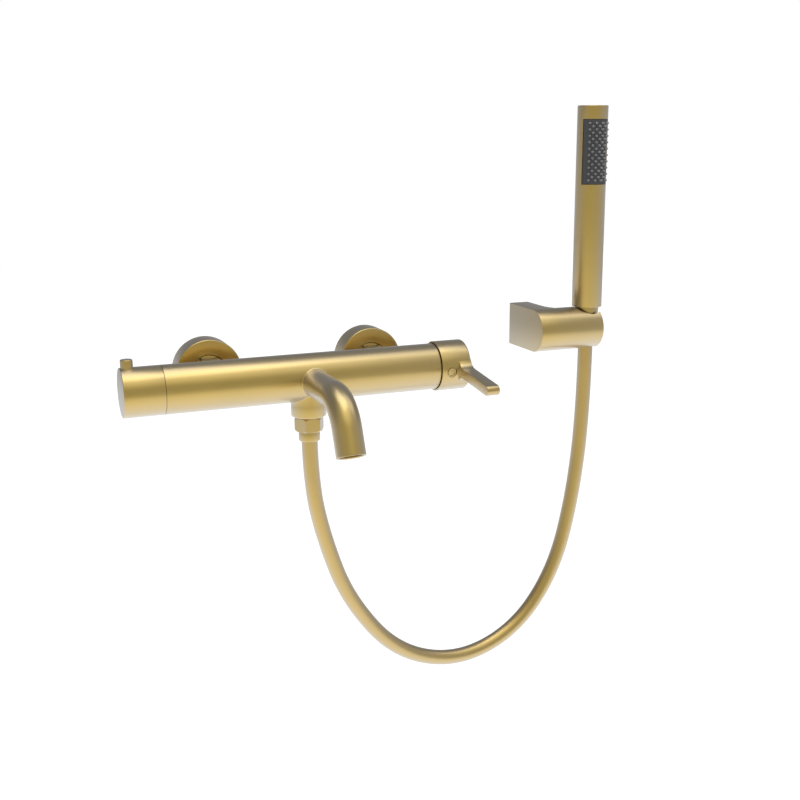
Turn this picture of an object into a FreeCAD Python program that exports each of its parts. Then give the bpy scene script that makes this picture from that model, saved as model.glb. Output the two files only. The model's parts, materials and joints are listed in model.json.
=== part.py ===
import FreeCAD, Part
import math
import os

# Wall-mounted bath and shower mixer: a round bar valve on two wall unions, with a spout,
# a shower outlet, a hose, a wall holder and a stick handset. Millimetres.
# +X runs along the bar to the lever, -Y faces the user, +Z is up. The origin is on the
# wall, midway between the two inlets, at the height of the bar.

V = FreeCAD.Vector
X_DIR = V(1, 0, 0)
Y_DIR = V(0, 1, 0)
Z_DIR = V(0, 0, 1)

# Clearances
MOVE_GAP = 0.3          # between pieces that move against each other
SHAFT_GAP = 0.08        # round a shaft or hinge pin
SEAT_GAP = 0.1          # round a piece that is pushed or screwed home
SADDLE_GAP = 0.05       # where a pipe's end is shaped to the bar

# Bar valve
WALL_TO_BAR = 73.0
BAR_RADIUS = 20.5
BAR_WALL = 2.5
BAR_LEFT = -124.5
BAR_RIGHT = 114.3
PARTITION = 4.0
DIVERTER_WALL_X = -96.0
HOT_WALL_X = -60.0
COLD_WALL_X = 60.0
CARTRIDGE_WALL_X = 86.0

# Water tubes inside the bar, as places across the bar's axis
TUBE_RADIUS = 3.2
TUBE_WALL = 0.7
SHOWER_TUBE_RADIUS = 2.6
SHOWER_TUBE_INSET = 8.3
PIPE_END_INTO_BORE = 1.0
HOT_TUBE_AT = (7.5, 8.0)
MIXED_TUBE_AT = (11.0, -1.5)
COLD_PORT_AT = (-8.0, -6.0)
SPOUT_TUBE_AT = (-8.5, 7.0)
SHOWER_TUBE_AT = (0.0, SHOWER_TUBE_INSET - BAR_RADIUS)

# Inlets
INLET_SPACING = 150.0
HALF_INCH_MAJOR_RADIUS = 10.45
HALF_INCH_MEAN_RADIUS = 9.8
WALL_THREAD_LENGTH = 13.0
UNION_OFFSET = 6.0
UNION_DISC_RADIUS = 17.0
UNION_DISC_BACK = 2.0
UNION_DISC_THICK = 8.0
UNION_REACH = 28.3
UNION_BORE = 7.0
WASHER_THICK = 2.2
WASHER_BORE = 6.0
NIPPLE_RADIUS = 8.0
NIPPLE_BORE = 6.5
NIPPLE_COLLAR_THICK = 1.5
NIPPLE_SHOULDER_RADIUS = 11.0
NIPPLE_SHOULDER_OFF_NUT = 1.0
INLET_NUT_FLATS = 26.0
INLET_NUT_LENGTH = 19.0
INLET_NUT_LIP = 1.9
INLET_NUT_CHAMFER = 1.0
CHECK_VALVE_LENGTH = 11.0
CHECK_VALVE_BORE = 3.0
CHECK_VALVE_RIM = 2.0
CHECK_VALVE_SLOPE = 0.5
CHECK_VALVE_WAIST = 0.8
FILTER_THICK = 0.5
FILTER_HOLE_RADIUS = 0.6
FILTER_RINGS = ((0.35, 6), (0.75, 12))

# Wall flanges
FLANGE_RADIUS = 28.9
FLANGE_DEPTH = 21.4
FLANGE_WALL = 1.5
FLANGE_HOLE_RADIUS = 15.8
FLANGE_CHAMFER = 0.7
FLANGE_WEB_AT = 5.0
FLANGE_WEB_THICK = 3.0

# Cartridge, seen from the right-hand end of the bar
GASKET_THICK = 1.0
GASKET_WIDTH = 2.5
HOUSING_FLOOR = 2.0
DISC_CHAMBER_RADIUS = 14.5
PORT_DISC_THICK = 2.5
DISC_GAP = 0.4
MIXING_DISC_THICK = 2.1
HOUSING_END = 103.1
CARRIER_RADIUS = 11.5
CARRIER_END = 110.6
CARRIER_SLOT_FRONT = 6.0
RETAINER_LENGTH = 8.7
NOTCH_COUNT = 4
NOTCH_WIDTH = 3.0
NOTCH_DEPTH = 2.0
NOTCH_INSET = 2.5
DISC_DISH_RIM = 3.0
PORT_RADIUS = 2.4
PIVOT_X = 105.4
PIVOT_PIN_RADIUS = 2.0
PIVOT_PIN_LENGTH = 20.0
PIVOT_HOLE_EXTRA = 0.5
STEM_RADIUS = 4.0
STEM_END = 135.5

# Mixer handle
HANDLE_DROP = 6.6
CUP_RADIUS = 22.2
CUP_WALL = 1.3
CUP_RIM_X = 115.4
CUP_END_X = 143.0
CUP_END_THICK = 4.0
CUP_END_ROUND = 2.0
CUP_RIM_CHAMFER = 0.5
CUP_BOSS_RADIUS = 8.0
CUP_BOSS_START = 120.0
CUP_BOSS_SHORT = 1.0
LEVER_WIDTH = 11.6
LEVER_HALF_THICK = 4.3
LEVER_REACH = 79.2
LEVER_ROOT_ROUND = 5.0
LEVER_ROOT_SINK = 0.05
LEVER_INTO_CUP = 7.3
PLUG_X = 124.3
PLUG_RADIUS = 4.0
PLUG_THICK = 1.1
PLUG_RIM = 0.7
PLUG_DISH = 0.6
PLUG_SEAT_DEPTH = 1.4
GRUB_RADIUS = 2.5
GRUB_HOLE_RADIUS = 2.7
GRUB_SOCKET_FLATS = 2.5
GRUB_SOCKET_DEPTH = 2.0
SMALL_SOCKET_FLATS = 2.0
SMALL_SOCKET_DEPTH = 1.5

# Diverter at the left-hand end of the bar
HEADWORK_END = -116.0
DIVERTER_CHAMBER_DEPTH = 8.0
DIVERTER_CHAMBER_RADIUS = 15.6
PORT_PLATE_THICK = 3.0
DIVERTER_DISC_THICK = 4.0
DIVERTER_DISC_RADIUS = 15.0
DIVERTER_SLOT_WIDTH = 6.0
DIVERTER_SLOT_FROM = 4.0
SPINDLE_RADIUS = 4.9
SPINDLE_END = -141.0
RING_SECTION = 0.6
RING_X = -111.0
KNOB_GAP = 0.5
KNOB_LENGTH = 33.0
KNOB_WALL = 2.3
KNOB_END_THICK = 12.0
KNOB_BOSS_RADIUS = 8.0
KNOB_BOSS_START = 3.0
KNOB_CHAMFER = 0.5
KNOB_PIN_X = -152.0
KNOB_PIN_RADIUS = 5.0
KNOB_PIN_TOP = 27.3
KNOB_PIN_BOTTOM = 12.0
KNOB_PIN_CHAMFER = 0.8
KNOB_GRUB_X = -138.0
KNOB_GRUB_RADIUS = 2.0

# Spout
SPOUT_Z = -1.8
SPOUT_RADIUS = 12.0
SPOUT_WALL = 1.8
SPOUT_BEND_AT = 139.0
SPOUT_BEND_RADIUS = 35.3
SPOUT_BEND_ANGLE = 66.0
SPOUT_TAIL = 22.0
SPOUT_RIM_CHAMFER = 0.8
SPOUT_SPIGOT_RADIUS = 9.8
SPOUT_SPIGOT_WALL = 1.6
SPOUT_SPIGOT_IN = 2.5
SPOUT_SPIGOT_OUT = 4.0
SPOUT_BORE_START = 2.0
AERATOR_RECESS = 2.5
AERATOR_LENGTH = 10.0
AERATOR_WALL = 1.5
AERATOR_INSERT_LENGTH = 6.0
AERATOR_INSERT_RECESS = 1.0
AERATOR_HOLE_RADIUS = 0.9
AERATOR_RINGS = ((0.0, 1), (0.38, 6), (0.76, 12))

# Shower outlet and the hose's nut
OUTLET_X = -1.5
BOSS_RADIUS = 15.2
BOSS_BOTTOM = -34.0
BOSS_CHAMFER = 1.4
OUTLET_BORE = 6.5
OUTLET_SPIGOT_RADIUS = 8.4
OUTLET_SPIGOT_TOP = -7.0
OUTLET_SPIGOT_CAP = 2.0
OUTLET_OVERLAP = 1.0
SHOWER_TUBE_SHORT = 0.5
OUTLET_THREAD_LENGTH = 8.25
HOSE_NUT_OFF_BOSS = 0.7
HOSE_NUT_FLATS = 22.6
HOSE_NUT_LENGTH = 12.35
HOSE_NUT_LIP = 1.8
HOSE_NUT_LIP_BORE = 5.4
HOSE_NUT_CHAMFER = 1.6
TAIL_FLANGE_THICK = 1.2
TAIL_RADIUS = 5.0
TAIL_BORE = 3.5
FERRULE_RADIUS = 9.3
FERRULE_LENGTH = 8.6
FERRULE_TOP_THICK = 1.4
FERRULE_CHAMFER = 1.2

# Hose
HOSE_DIAMETER = 14.0
ARC_SHARE = 0.45

# Wall holder
HOLDER_LEFT = 228.5
HOLDER_BLOCK_WIDTH = 19.8
HOLDER_RIGHT = 294.6
HOLDER_Z = 20.2
HOLDER_OUT = 48.5
HOLDER_RADIUS = 20.15
HOLDER_CHAMFER = 0.4
HOLDER_COVE = 6.0
HOLDER_COVE_SINK = 0.05
SEAT_X = 286.7
HOSE_SLOT_WIDTH = 15.6
POCKET_MARGIN = 3.5
POCKET_DEPTH = 30.0
PLATE_THICK = 3.0
PLATE_LUG_HEIGHT = 6.0
PLATE_LUG_OUT = 11.5
PLATE_HOLE_RADIUS = 2.2
PLATE_HOLE_SPACING = 16.0
PLATE_HOLES_UP = 3.0
HOLDER_GRUB_RADIUS = 2.0
HOLDER_GRUB_OUT = 7.5

# Cone nut at the handset end of the hose
CONE_TOP = 41.0
CONE_LENGTH = 36.0
CONE_TOP_RADIUS = 11.4
CONE_BOTTOM_RADIUS = 9.1
CONE_THREAD_DEPTH = 13.2
CONE_LIP = 1.8
CONE_CHAMFER = 0.4
CONE_HOSE_BORE = 7.4
CONE_TAIL_LENGTH = 17.0
HANDSET_THREAD_LENGTH = 10.0

# Handset
HANDSET_RADIUS = 14.15
HANDSET_WALL = 1.5
HANDSET_BOTTOM = 41.3
HANDSET_TOP = 226.9
HANDSET_CHAMFER = 0.5
CAP_THICK = 3.5
CONNECTOR_LENGTH = 17.0
CONNECTOR_SOCKET = 6.0
FACE_BOTTOM = 156.0
FACE_TOP = 214.3
FACE_HALF_ANGLE = 65.0
FACE_THICK = 1.4
FACE_SINK = 1.0
NOZZLE_ROWS = 10
NOZZLE_PITCH = 5.72
NOZZLE_FIRST = 159.5
NOZZLE_STEP_ANGLE = 23.3
NOZZLE_RADIUS = 1.15
NOZZLE_PROUD = 2.05
NOZZLE_GAP = 0.1
MAT_THICK = 1.2
MAT_MARGIN = 2.0
MAT_SHORT_ANGLE = 8.0
WATERWAY_RADIUS = 5.5
WATERWAY_WALL = 1.2
WATERWAY_BACK = 4.0
WATERWAY_TOP = 218.0
WATERWAY_PORTS = 5
WATERWAY_PORT_RADIUS = 2.0
OVERCUT = 1.0             # how far a cutter runs past what it cuts

# Worked out from the sizes above
BAR_BORE = BAR_RADIUS - BAR_WALL
BAR_Y = -WALL_TO_BAR
CUP_INNER_RADIUS = CUP_RADIUS - CUP_WALL
HALF_SPACING = INLET_SPACING / 2.0
CARTRIDGE_SEAT_X = CARTRIDGE_WALL_X + PARTITION
HOUSING_START = CARTRIDGE_SEAT_X + GASKET_THICK
NIPPLE_COLLAR_FACE = UNION_REACH + WASHER_THICK
INLET_NUT_FRONT = NIPPLE_COLLAR_FACE + NIPPLE_COLLAR_THICK + SEAT_GAP + INLET_NUT_LIP
PORT_DISC_START = HOUSING_START + HOUSING_FLOOR
MIXING_DISC_START = PORT_DISC_START + PORT_DISC_THICK + DISC_GAP
CARRIER_START = MIXING_DISC_START + MIXING_DISC_THICK
KNOB_RIGHT = BAR_LEFT - KNOB_GAP
KNOB_LEFT = KNOB_RIGHT - KNOB_LENGTH
OUTLET_THREAD_END = BOSS_BOTTOM - OUTLET_THREAD_LENGTH
HOSE_NUT_TOP = BOSS_BOTTOM - HOSE_NUT_OFF_BOSS
HOSE_NUT_BOTTOM = HOSE_NUT_TOP - HOSE_NUT_LENGTH
FERRULE_TOP = HOSE_NUT_BOTTOM - MOVE_GAP
HOSE_START_Z = FERRULE_TOP - FERRULE_TOP_THICK
CONE_BOTTOM = CONE_TOP - CONE_LENGTH
CONE_LIP_TOP = CONE_TOP - CONE_THREAD_DEPTH
HOSE_END_Z = CONE_LIP_TOP - CONE_TAIL_LENGTH
SEAT_Y = -HOLDER_OUT

# The hose's corner points: straight down out of the ferrule, round in a loose U,
# and straight up into the cone nut. The ends follow the outlet and the holder.
HOSE_POINTS = [
    (OUTLET_X, BAR_Y, HOSE_START_Z),
    (OUTLET_X, BAR_Y, -95.0),
    (10.0, -72.0, -150.0),
    (32.0, -70.2, -212.0),
    (80.0, -66.1, -275.0),
    (147.0, -60.4, -300.0),
    (213.0, -54.8, -280.0),
    (257.0, -51.0, -225.0),
    (277.0, -49.3, -150.0),
    (SEAT_X, SEAT_Y, -62.0),
    (SEAT_X, SEAT_Y, HOSE_END_Z),
]


def rod(start, direction, radius, length):
    return Part.makeCylinder(radius, length, start, direction)


def tube(start, direction, radius, bore, length):
    return rod(start, direction, radius, length).cut(rod(start, direction, bore, length))


def block(low, high):
    size = high - low
    return Part.makeBox(size.x, size.y, size.z, low)


def outline_edges(points, place):
    # A plain pair is a corner. A pair of pairs is an arc: a point on it, and its end.
    edges = []
    here = place(points[0])
    for item in points[1:] + [points[0]]:
        if isinstance(item[0], tuple):
            there = place(item[1])
            edges.append(Part.Arc(here, place(item[0]), there).toShape())
        else:
            there = place(item)
            edges.append(Part.LineSegment(here, there).toShape())
        here = there
    return edges


def turned(points, start, direction):
    # points are (station along the axis, radius)
    face = Part.Face(Part.Wire(outline_edges(points, lambda p: V(p[1], 0, p[0]))))
    shape = face.revolve(V(0, 0, 0), Z_DIR, 360)
    shape.Placement = FreeCAD.Placement(start, FreeCAD.Rotation(Z_DIR, direction))
    return shape


def hexagon(start, across_flats, length, turn, direction):
    corner = across_flats / math.sqrt(3)
    ring = []
    for step in range(6):
        angle = math.radians(turn + 60 * step)
        ring.append(V(corner * math.cos(angle), corner * math.sin(angle), 0))
    prism = Part.Face(Part.makePolygon(ring + ring[:1])).extrude(V(0, 0, length))
    prism.Placement = FreeCAD.Placement(start, FreeCAD.Rotation(Z_DIR, direction))
    return prism


def hex_nut(start, across_flats, length, chamfer, turn, direction):
    # A hexagon whose corners are turned off at both ends
    corner = across_flats / math.sqrt(3)
    flat = across_flats / 2.0
    blank = turned([(0, 0), (0, flat), (chamfer, corner), (length - chamfer, corner),
                    (length, flat), (length, 0)], start, direction)
    return hexagon(start, across_flats, length, turn, direction).common(blank)


def at_bar(x, across=(0.0, 0.0)):
    return V(x, BAR_Y + across[0], across[1])


def bar_core(radius):
    length = BAR_RIGHT - BAR_LEFT + 2 * KNOB_LENGTH
    return rod(at_bar(BAR_LEFT - KNOB_LENGTH), X_DIR, radius, length)


def valve_body():
    length = BAR_RIGHT - BAR_LEFT
    body = tube(at_bar(BAR_LEFT), X_DIR, BAR_RADIUS, BAR_BORE, length)
    for x in (DIVERTER_WALL_X, HOT_WALL_X, COLD_WALL_X, CARTRIDGE_WALL_X):
        body = body.fuse(rod(at_bar(x), X_DIR, BAR_BORE + SEAT_GAP, PARTITION))
    tubes = [
        (DIVERTER_WALL_X, CARTRIDGE_SEAT_X, MIXED_TUBE_AT, TUBE_RADIUS),
        (HOT_WALL_X, CARTRIDGE_SEAT_X, HOT_TUBE_AT, TUBE_RADIUS),
        (DIVERTER_WALL_X, HOT_WALL_X + PARTITION, SPOUT_TUBE_AT, TUBE_RADIUS),
        (DIVERTER_WALL_X, HOT_WALL_X + PARTITION, SHOWER_TUBE_AT, SHOWER_TUBE_RADIUS),
        (CARTRIDGE_WALL_X, CARTRIDGE_SEAT_X, COLD_PORT_AT, PORT_RADIUS),
    ]
    for start, end, across, radius in tubes:
        body = body.cut(rod(at_bar(start, across), X_DIR, radius + SEAT_GAP, end - start))
    for side in (-1, 1):
        start = V(side * HALF_SPACING, BAR_Y, 0)
        body = body.cut(rod(start, Y_DIR, NIPPLE_RADIUS + SEAT_GAP, BAR_RADIUS))
    spout_start = V(0, BAR_Y, SPOUT_Z)
    body = body.cut(rod(spout_start, -Y_DIR, SPOUT_SPIGOT_RADIUS + SEAT_GAP, BAR_RADIUS))
    outlet_start = V(OUTLET_X, BAR_Y, 0)
    return body.cut(rod(outlet_start, -Z_DIR, OUTLET_SPIGOT_RADIUS + SEAT_GAP, BAR_RADIUS))


def water_tube(start, end, across, radius):
    return tube(at_bar(start, across), X_DIR, radius, radius - TUBE_WALL, end - start)


def inlet_nipple(x):
    wall = NIPPLE_COLLAR_FACE
    inside = WALL_TO_BAR - BAR_BORE + PIPE_END_INTO_BORE
    shoulder_end = INLET_NUT_FRONT + NIPPLE_SHOULDER_OFF_NUT
    start = V(x, -wall, 0)
    nipple = turned([
        (0, NIPPLE_BORE), (0, HALF_INCH_MEAN_RADIUS),
        (NIPPLE_COLLAR_THICK, HALF_INCH_MEAN_RADIUS), (NIPPLE_COLLAR_THICK, NIPPLE_RADIUS),
        (shoulder_end - wall, NIPPLE_RADIUS), (shoulder_end - wall, NIPPLE_SHOULDER_RADIUS),
        (inside - wall, NIPPLE_SHOULDER_RADIUS), (inside - wall, NIPPLE_BORE),
    ], start, -Y_DIR)
    outside = nipple.cut(bar_core(BAR_RADIUS + SADDLE_GAP))
    spigot_start = V(x, -shoulder_end, 0)
    spigot = tube(spigot_start, -Y_DIR, NIPPLE_RADIUS, NIPPLE_BORE, inside - shoulder_end)
    return outside.fuse(spigot)


def union_nut(x):
    start = V(x, -INLET_NUT_FRONT, 0)
    nut = hex_nut(start, INLET_NUT_FLATS, INLET_NUT_LENGTH, INLET_NUT_CHAMFER, 0, Y_DIR)
    lip_bore = rod(start, Y_DIR, NIPPLE_RADIUS + SEAT_GAP, INLET_NUT_LIP)
    thread_start = V(x, INLET_NUT_LIP - INLET_NUT_FRONT, 0)
    thread = rod(thread_start, Y_DIR, HALF_INCH_MEAN_RADIUS + SEAT_GAP, INLET_NUT_LENGTH)
    return nut.cut(lip_bore).cut(thread)


def inlet_washer(x):
    start = V(x, -NIPPLE_COLLAR_FACE, 0)
    return tube(start, Y_DIR, HALF_INCH_MEAN_RADIUS, WASHER_BORE, WASHER_THICK)


def inlet_filter(x):
    middle = UNION_REACH + WASHER_THICK / 2.0
    start = V(x, -middle - FILTER_THICK / 2.0, 0)
    radius = WASHER_BORE - SEAT_GAP
    disc = rod(start, Y_DIR, radius, FILTER_THICK)
    for ring, count in FILTER_RINGS:
        for step in range(count):
            angle = 2 * math.pi * step / count
            hole = start + V(math.cos(angle), 0, math.sin(angle)) * (ring * radius)
            disc = disc.cut(rod(hole, Y_DIR, FILTER_HOLE_RADIUS, FILTER_THICK))
    return disc


def check_valve(x):
    start = V(x, -NIPPLE_COLLAR_FACE - NIPPLE_COLLAR_THICK, 0)
    outer = NIPPLE_BORE - SEAT_GAP
    waist = outer - CHECK_VALVE_WAIST
    length = CHECK_VALVE_LENGTH
    rim = CHECK_VALVE_RIM
    slope_end = rim + CHECK_VALVE_SLOPE
    return turned([
        (0, CHECK_VALVE_BORE), (0, outer), (rim, outer), (slope_end, waist),
        (length - slope_end, waist), (length - rim, outer),
        (length, outer), (length, CHECK_VALVE_BORE),
    ], start, -Y_DIR)


def s_union(x):
    disc_front = UNION_DISC_BACK + UNION_DISC_THICK
    disc_start = V(x, -disc_front, 0)
    disc = rod(disc_start, Y_DIR, UNION_DISC_RADIUS, UNION_DISC_THICK)
    front_start = V(x, -UNION_REACH, 0)
    front = rod(front_start, Y_DIR, HALF_INCH_MEAN_RADIUS, UNION_REACH - UNION_DISC_BACK)
    back_start = V(x, -disc_front, -UNION_OFFSET)
    back_length = disc_front + WALL_THREAD_LENGTH
    back = rod(back_start, Y_DIR, HALF_INCH_MAJOR_RADIUS, back_length)
    middle = disc_front - UNION_DISC_THICK / 2.0
    front_bore = rod(front_start, Y_DIR, UNION_BORE, UNION_REACH - middle)
    back_bore = rod(V(x, -middle, -UNION_OFFSET), Y_DIR, UNION_BORE, middle + WALL_THREAD_LENGTH)
    return disc.fuse(front).fuse(back).cut(front_bore).cut(back_bore)


def wall_flange(x):
    inner = FLANGE_RADIUS - FLANGE_WALL
    web_bore = UNION_DISC_RADIUS + SEAT_GAP
    back = FLANGE_DEPTH - FLANGE_WEB_AT
    web_front = back - FLANGE_WEB_THICK
    return turned([
        (0, FLANGE_HOLE_RADIUS), (0, FLANGE_RADIUS - FLANGE_CHAMFER),
        (FLANGE_CHAMFER, FLANGE_RADIUS), (FLANGE_DEPTH, FLANGE_RADIUS), (FLANGE_DEPTH, inner),
        (back, inner), (back, web_bore), (web_front, web_bore), (web_front, inner),
        (FLANGE_WALL, inner), (FLANGE_WALL, FLANGE_HOLE_RADIUS),
    ], V(x, -FLANGE_DEPTH, 0), Y_DIR)


def port_holes(shape, x, length, places):
    for across in places:
        shape = shape.cut(rod(at_bar(x, across), X_DIR, PORT_RADIUS, length))
    return shape


CARTRIDGE_PORTS = (HOT_TUBE_AT, MIXED_TUBE_AT, COLD_PORT_AT)
DIVERTER_PORTS = (MIXED_TUBE_AT, SPOUT_TUBE_AT, SHOWER_TUBE_AT)


def cartridge_gasket():
    outer = BAR_BORE - MOVE_GAP
    return tube(at_bar(CARTRIDGE_SEAT_X), X_DIR, outer, outer - GASKET_WIDTH, GASKET_THICK)


def cartridge_housing():
    chamber_depth = CARRIER_START - HOUSING_START + DISC_GAP
    length = HOUSING_END - HOUSING_START
    turret_bore = CARRIER_RADIUS + MOVE_GAP + SEAT_GAP
    housing = turned([
        (0, 0), (0, BAR_BORE - MOVE_GAP), (length, BAR_BORE - MOVE_GAP), (length, turret_bore),
        (chamber_depth, turret_bore), (chamber_depth, DISC_CHAMBER_RADIUS),
        (HOUSING_FLOOR, DISC_CHAMBER_RADIUS), (HOUSING_FLOOR, 0),
    ], at_bar(HOUSING_START), X_DIR)
    return port_holes(housing, HOUSING_START, HOUSING_FLOOR, CARTRIDGE_PORTS)


def port_disc():
    radius = DISC_CHAMBER_RADIUS - SEAT_GAP
    disc = rod(at_bar(PORT_DISC_START), X_DIR, radius, PORT_DISC_THICK)
    return port_holes(disc, PORT_DISC_START, PORT_DISC_THICK, CARTRIDGE_PORTS)


def cartridge_retainer():
    start = HOUSING_END + SEAT_GAP
    ring = tube(at_bar(start), X_DIR, BAR_BORE - SEAT_GAP,
                CARRIER_RADIUS + MOVE_GAP + SEAT_GAP, RETAINER_LENGTH)
    # Notches in the outer face take the spanner that tightens it
    end = start + RETAINER_LENGTH
    half = NOTCH_WIDTH / 2.0
    for step in range(NOTCH_COUNT):
        notch = block(V(end - NOTCH_DEPTH, BAR_Y - half, CARRIER_RADIUS + NOTCH_INSET),
                      V(end + OVERCUT, BAR_Y + half, BAR_BORE + OVERCUT))
        notch.rotate(at_bar(0), X_DIR, 360.0 * (step + 0.5) / NOTCH_COUNT)
        ring = ring.cut(notch)
    return ring


def drop_handle(shape):
    # The whole handle stands a little below level, as it rests
    shape.rotate(at_bar(0), X_DIR, HANDLE_DROP)
    return shape


def mixing_disc():
    radius = DISC_CHAMBER_RADIUS - MOVE_GAP - DISC_GAP
    disc = rod(at_bar(MIXING_DISC_START), X_DIR, radius, MIXING_DISC_THICK)
    dish = rod(at_bar(MIXING_DISC_START), X_DIR, radius - DISC_DISH_RIM, MIXING_DISC_THICK / 2.0)
    return drop_handle(disc.cut(dish))


def temperature_carrier():
    carrier = rod(at_bar(CARRIER_START), X_DIR, CARRIER_RADIUS, CARRIER_END - CARRIER_START)
    side = STEM_RADIUS + MOVE_GAP
    slot_start = PIVOT_X - CARRIER_SLOT_FRONT
    slot = block(V(slot_start, BAR_Y - CARRIER_SLOT_FRONT, -side),
                 V(CARRIER_END + OVERCUT, BAR_Y + CARRIER_RADIUS + OVERCUT, side))
    half = PIVOT_PIN_LENGTH / 2.0 + PIVOT_HOLE_EXTRA
    hole = rod(V(PIVOT_X, BAR_Y, -half), Z_DIR, PIVOT_PIN_RADIUS + SHAFT_GAP / 2, 2 * half)
    return drop_handle(carrier.cut(slot).cut(hole))


def lever_pivot_pin():
    start = V(PIVOT_X, BAR_Y, -PIVOT_PIN_LENGTH / 2.0)
    return drop_handle(rod(start, Z_DIR, PIVOT_PIN_RADIUS, PIVOT_PIN_LENGTH))


def lever_stem():
    start = PIVOT_X - STEM_RADIUS
    stem = rod(at_bar(start), X_DIR, STEM_RADIUS, STEM_END - start)
    hole_start = V(PIVOT_X, BAR_Y, -CUP_RADIUS)
    hole = rod(hole_start, Z_DIR, PIVOT_PIN_RADIUS + SHAFT_GAP, 2 * CUP_RADIUS)
    return drop_handle(stem.cut(hole))


def lever_profile():
    # Seen along the bar: a flat bar with a round nose, and a fillet that leads it into the cup
    half = LEVER_HALF_THICK
    fillet = LEVER_ROOT_ROUND
    cup = CUP_RADIUS - LEVER_ROOT_SINK
    # The fillet's middle lies its own radius above the lever and outside the cup
    above = half + fillet
    flare = math.sqrt((cup + fillet) ** 2 - above ** 2)
    start = (flare * cup / (cup + fillet), above * cup / (cup + fillet))
    turn = (math.atan2(-above, -flare) - math.pi / 2) / 2
    deepest = (flare + fillet * math.cos(turn), above + fillet * math.sin(turn))
    nose = LEVER_REACH - half
    inside = CUP_RADIUS - LEVER_INTO_CUP
    return [
        (inside, start[1]), start, (deepest, (flare, half)), (nose, half),
        ((LEVER_REACH, 0.0), (nose, -half)), (flare, -half),
        ((deepest[0], -deepest[1]), (start[0], -start[1])), (inside, -start[1]),
    ]


def mixer_handle():
    length = CUP_END_X - CUP_RIM_X
    bend = CUP_END_ROUND * (1 - math.sqrt(0.5))
    cup = turned([
        (0, 0), (0, CUP_RADIUS - CUP_RIM_CHAMFER), (CUP_RIM_CHAMFER, CUP_RADIUS),
        (length - CUP_END_ROUND, CUP_RADIUS),
        ((length - bend, CUP_RADIUS - bend), (length, CUP_RADIUS - CUP_END_ROUND)), (length, 0),
    ], at_bar(CUP_RIM_X), X_DIR)
    lever_start = CUP_END_X - LEVER_WIDTH - SEAT_GAP
    edges = outline_edges(lever_profile(), lambda p: V(lever_start, BAR_Y - p[0], p[1]))
    lever = Part.Face(Part.Wire(edges)).extrude(V(LEVER_WIDTH, 0, 0))
    hollow = rod(at_bar(CUP_RIM_X), X_DIR, CUP_INNER_RADIUS, length - CUP_END_THICK)
    boss_start = at_bar(CUP_BOSS_START)
    boss_length = CUP_END_X - CUP_BOSS_SHORT - CUP_BOSS_START
    boss = rod(boss_start, X_DIR, CUP_BOSS_RADIUS, boss_length)
    bore_length = STEM_END + SEAT_GAP - CUP_BOSS_START
    bore = rod(boss_start, X_DIR, STEM_RADIUS + SEAT_GAP, bore_length)
    plug_start = V(PLUG_X, BAR_Y - CUP_RADIUS - OVERCUT, 0)
    plug_hole = rod(plug_start, Y_DIR, PLUG_RADIUS + SEAT_GAP, OVERCUT + PLUG_SEAT_DEPTH)
    grub_hole = rod(plug_start, Y_DIR, GRUB_HOLE_RADIUS, CUP_RADIUS)
    handle = cup.fuse(lever).cut(hollow).fuse(boss).cut(bore).cut(plug_hole).cut(grub_hole)
    return drop_handle(handle.removeSplitter())


def handle_grub_screw():
    start = V(PLUG_X, BAR_Y - CUP_BOSS_RADIUS, 0)
    length = CUP_BOSS_RADIUS - STEM_RADIUS - SEAT_GAP
    screw = rod(start, Y_DIR, GRUB_RADIUS, length)
    socket = hexagon(start, GRUB_SOCKET_FLATS, GRUB_SOCKET_DEPTH, 0, Y_DIR)
    return drop_handle(screw.cut(socket))


def handle_plug():
    # A round plug with a raised rim, let into the cup over the grub screw
    start = V(PLUG_X, BAR_Y - CUP_RADIUS + SEAT_GAP, 0)
    dish_radius = PLUG_RADIUS - PLUG_RIM
    shape = turned([
        (PLUG_DISH, 0), (PLUG_DISH, dish_radius), (0, dish_radius), (0, PLUG_RADIUS),
        (PLUG_THICK, PLUG_RADIUS), (PLUG_THICK, 0),
    ], start, Y_DIR)
    return drop_handle(shape)


def diverter_headwork():
    depth = DIVERTER_CHAMBER_DEPTH
    length = DIVERTER_WALL_X - HEADWORK_END
    bore = SPINDLE_RADIUS + SHAFT_GAP
    ring_at = RING_X - HEADWORK_END
    groove = SPINDLE_RADIUS + 3 * RING_SECTION
    half = 2 * RING_SECTION
    return turned([
        (0, bore), (0, BAR_BORE - SEAT_GAP), (length, BAR_BORE - SEAT_GAP),
        (length, DIVERTER_CHAMBER_RADIUS), (length - depth, DIVERTER_CHAMBER_RADIUS),
        (length - depth, bore), (ring_at + half, bore), (ring_at + half, groove),
        (ring_at - half, groove), (ring_at - half, bore),
    ], at_bar(HEADWORK_END), X_DIR)


def diverter_port_plate():
    start = DIVERTER_WALL_X - PORT_PLATE_THICK
    plate = rod(at_bar(start), X_DIR, DIVERTER_CHAMBER_RADIUS - SEAT_GAP, PORT_PLATE_THICK)
    return port_holes(plate, start, PORT_PLATE_THICK, DIVERTER_PORTS)


def disc_right():
    return DIVERTER_WALL_X - PORT_PLATE_THICK - DISC_GAP


def diverter_disc():
    start = disc_right() - DIVERTER_DISC_THICK
    disc = rod(at_bar(start), X_DIR, DIVERTER_DISC_RADIUS, DIVERTER_DISC_THICK)
    half = DIVERTER_SLOT_WIDTH / 2.0
    slot_low = V(start + DIVERTER_DISC_THICK / 2.0, BAR_Y - half, -DIVERTER_DISC_RADIUS)
    slot_high = V(disc_right() + OVERCUT, BAR_Y + half, -DIVERTER_SLOT_FROM)
    return disc.cut(block(slot_low, slot_high))


def diverter_seal_ring():
    middle = SPINDLE_RADIUS + SHAFT_GAP + RING_SECTION
    return Part.makeTorus(middle, RING_SECTION, at_bar(RING_X), X_DIR)


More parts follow.
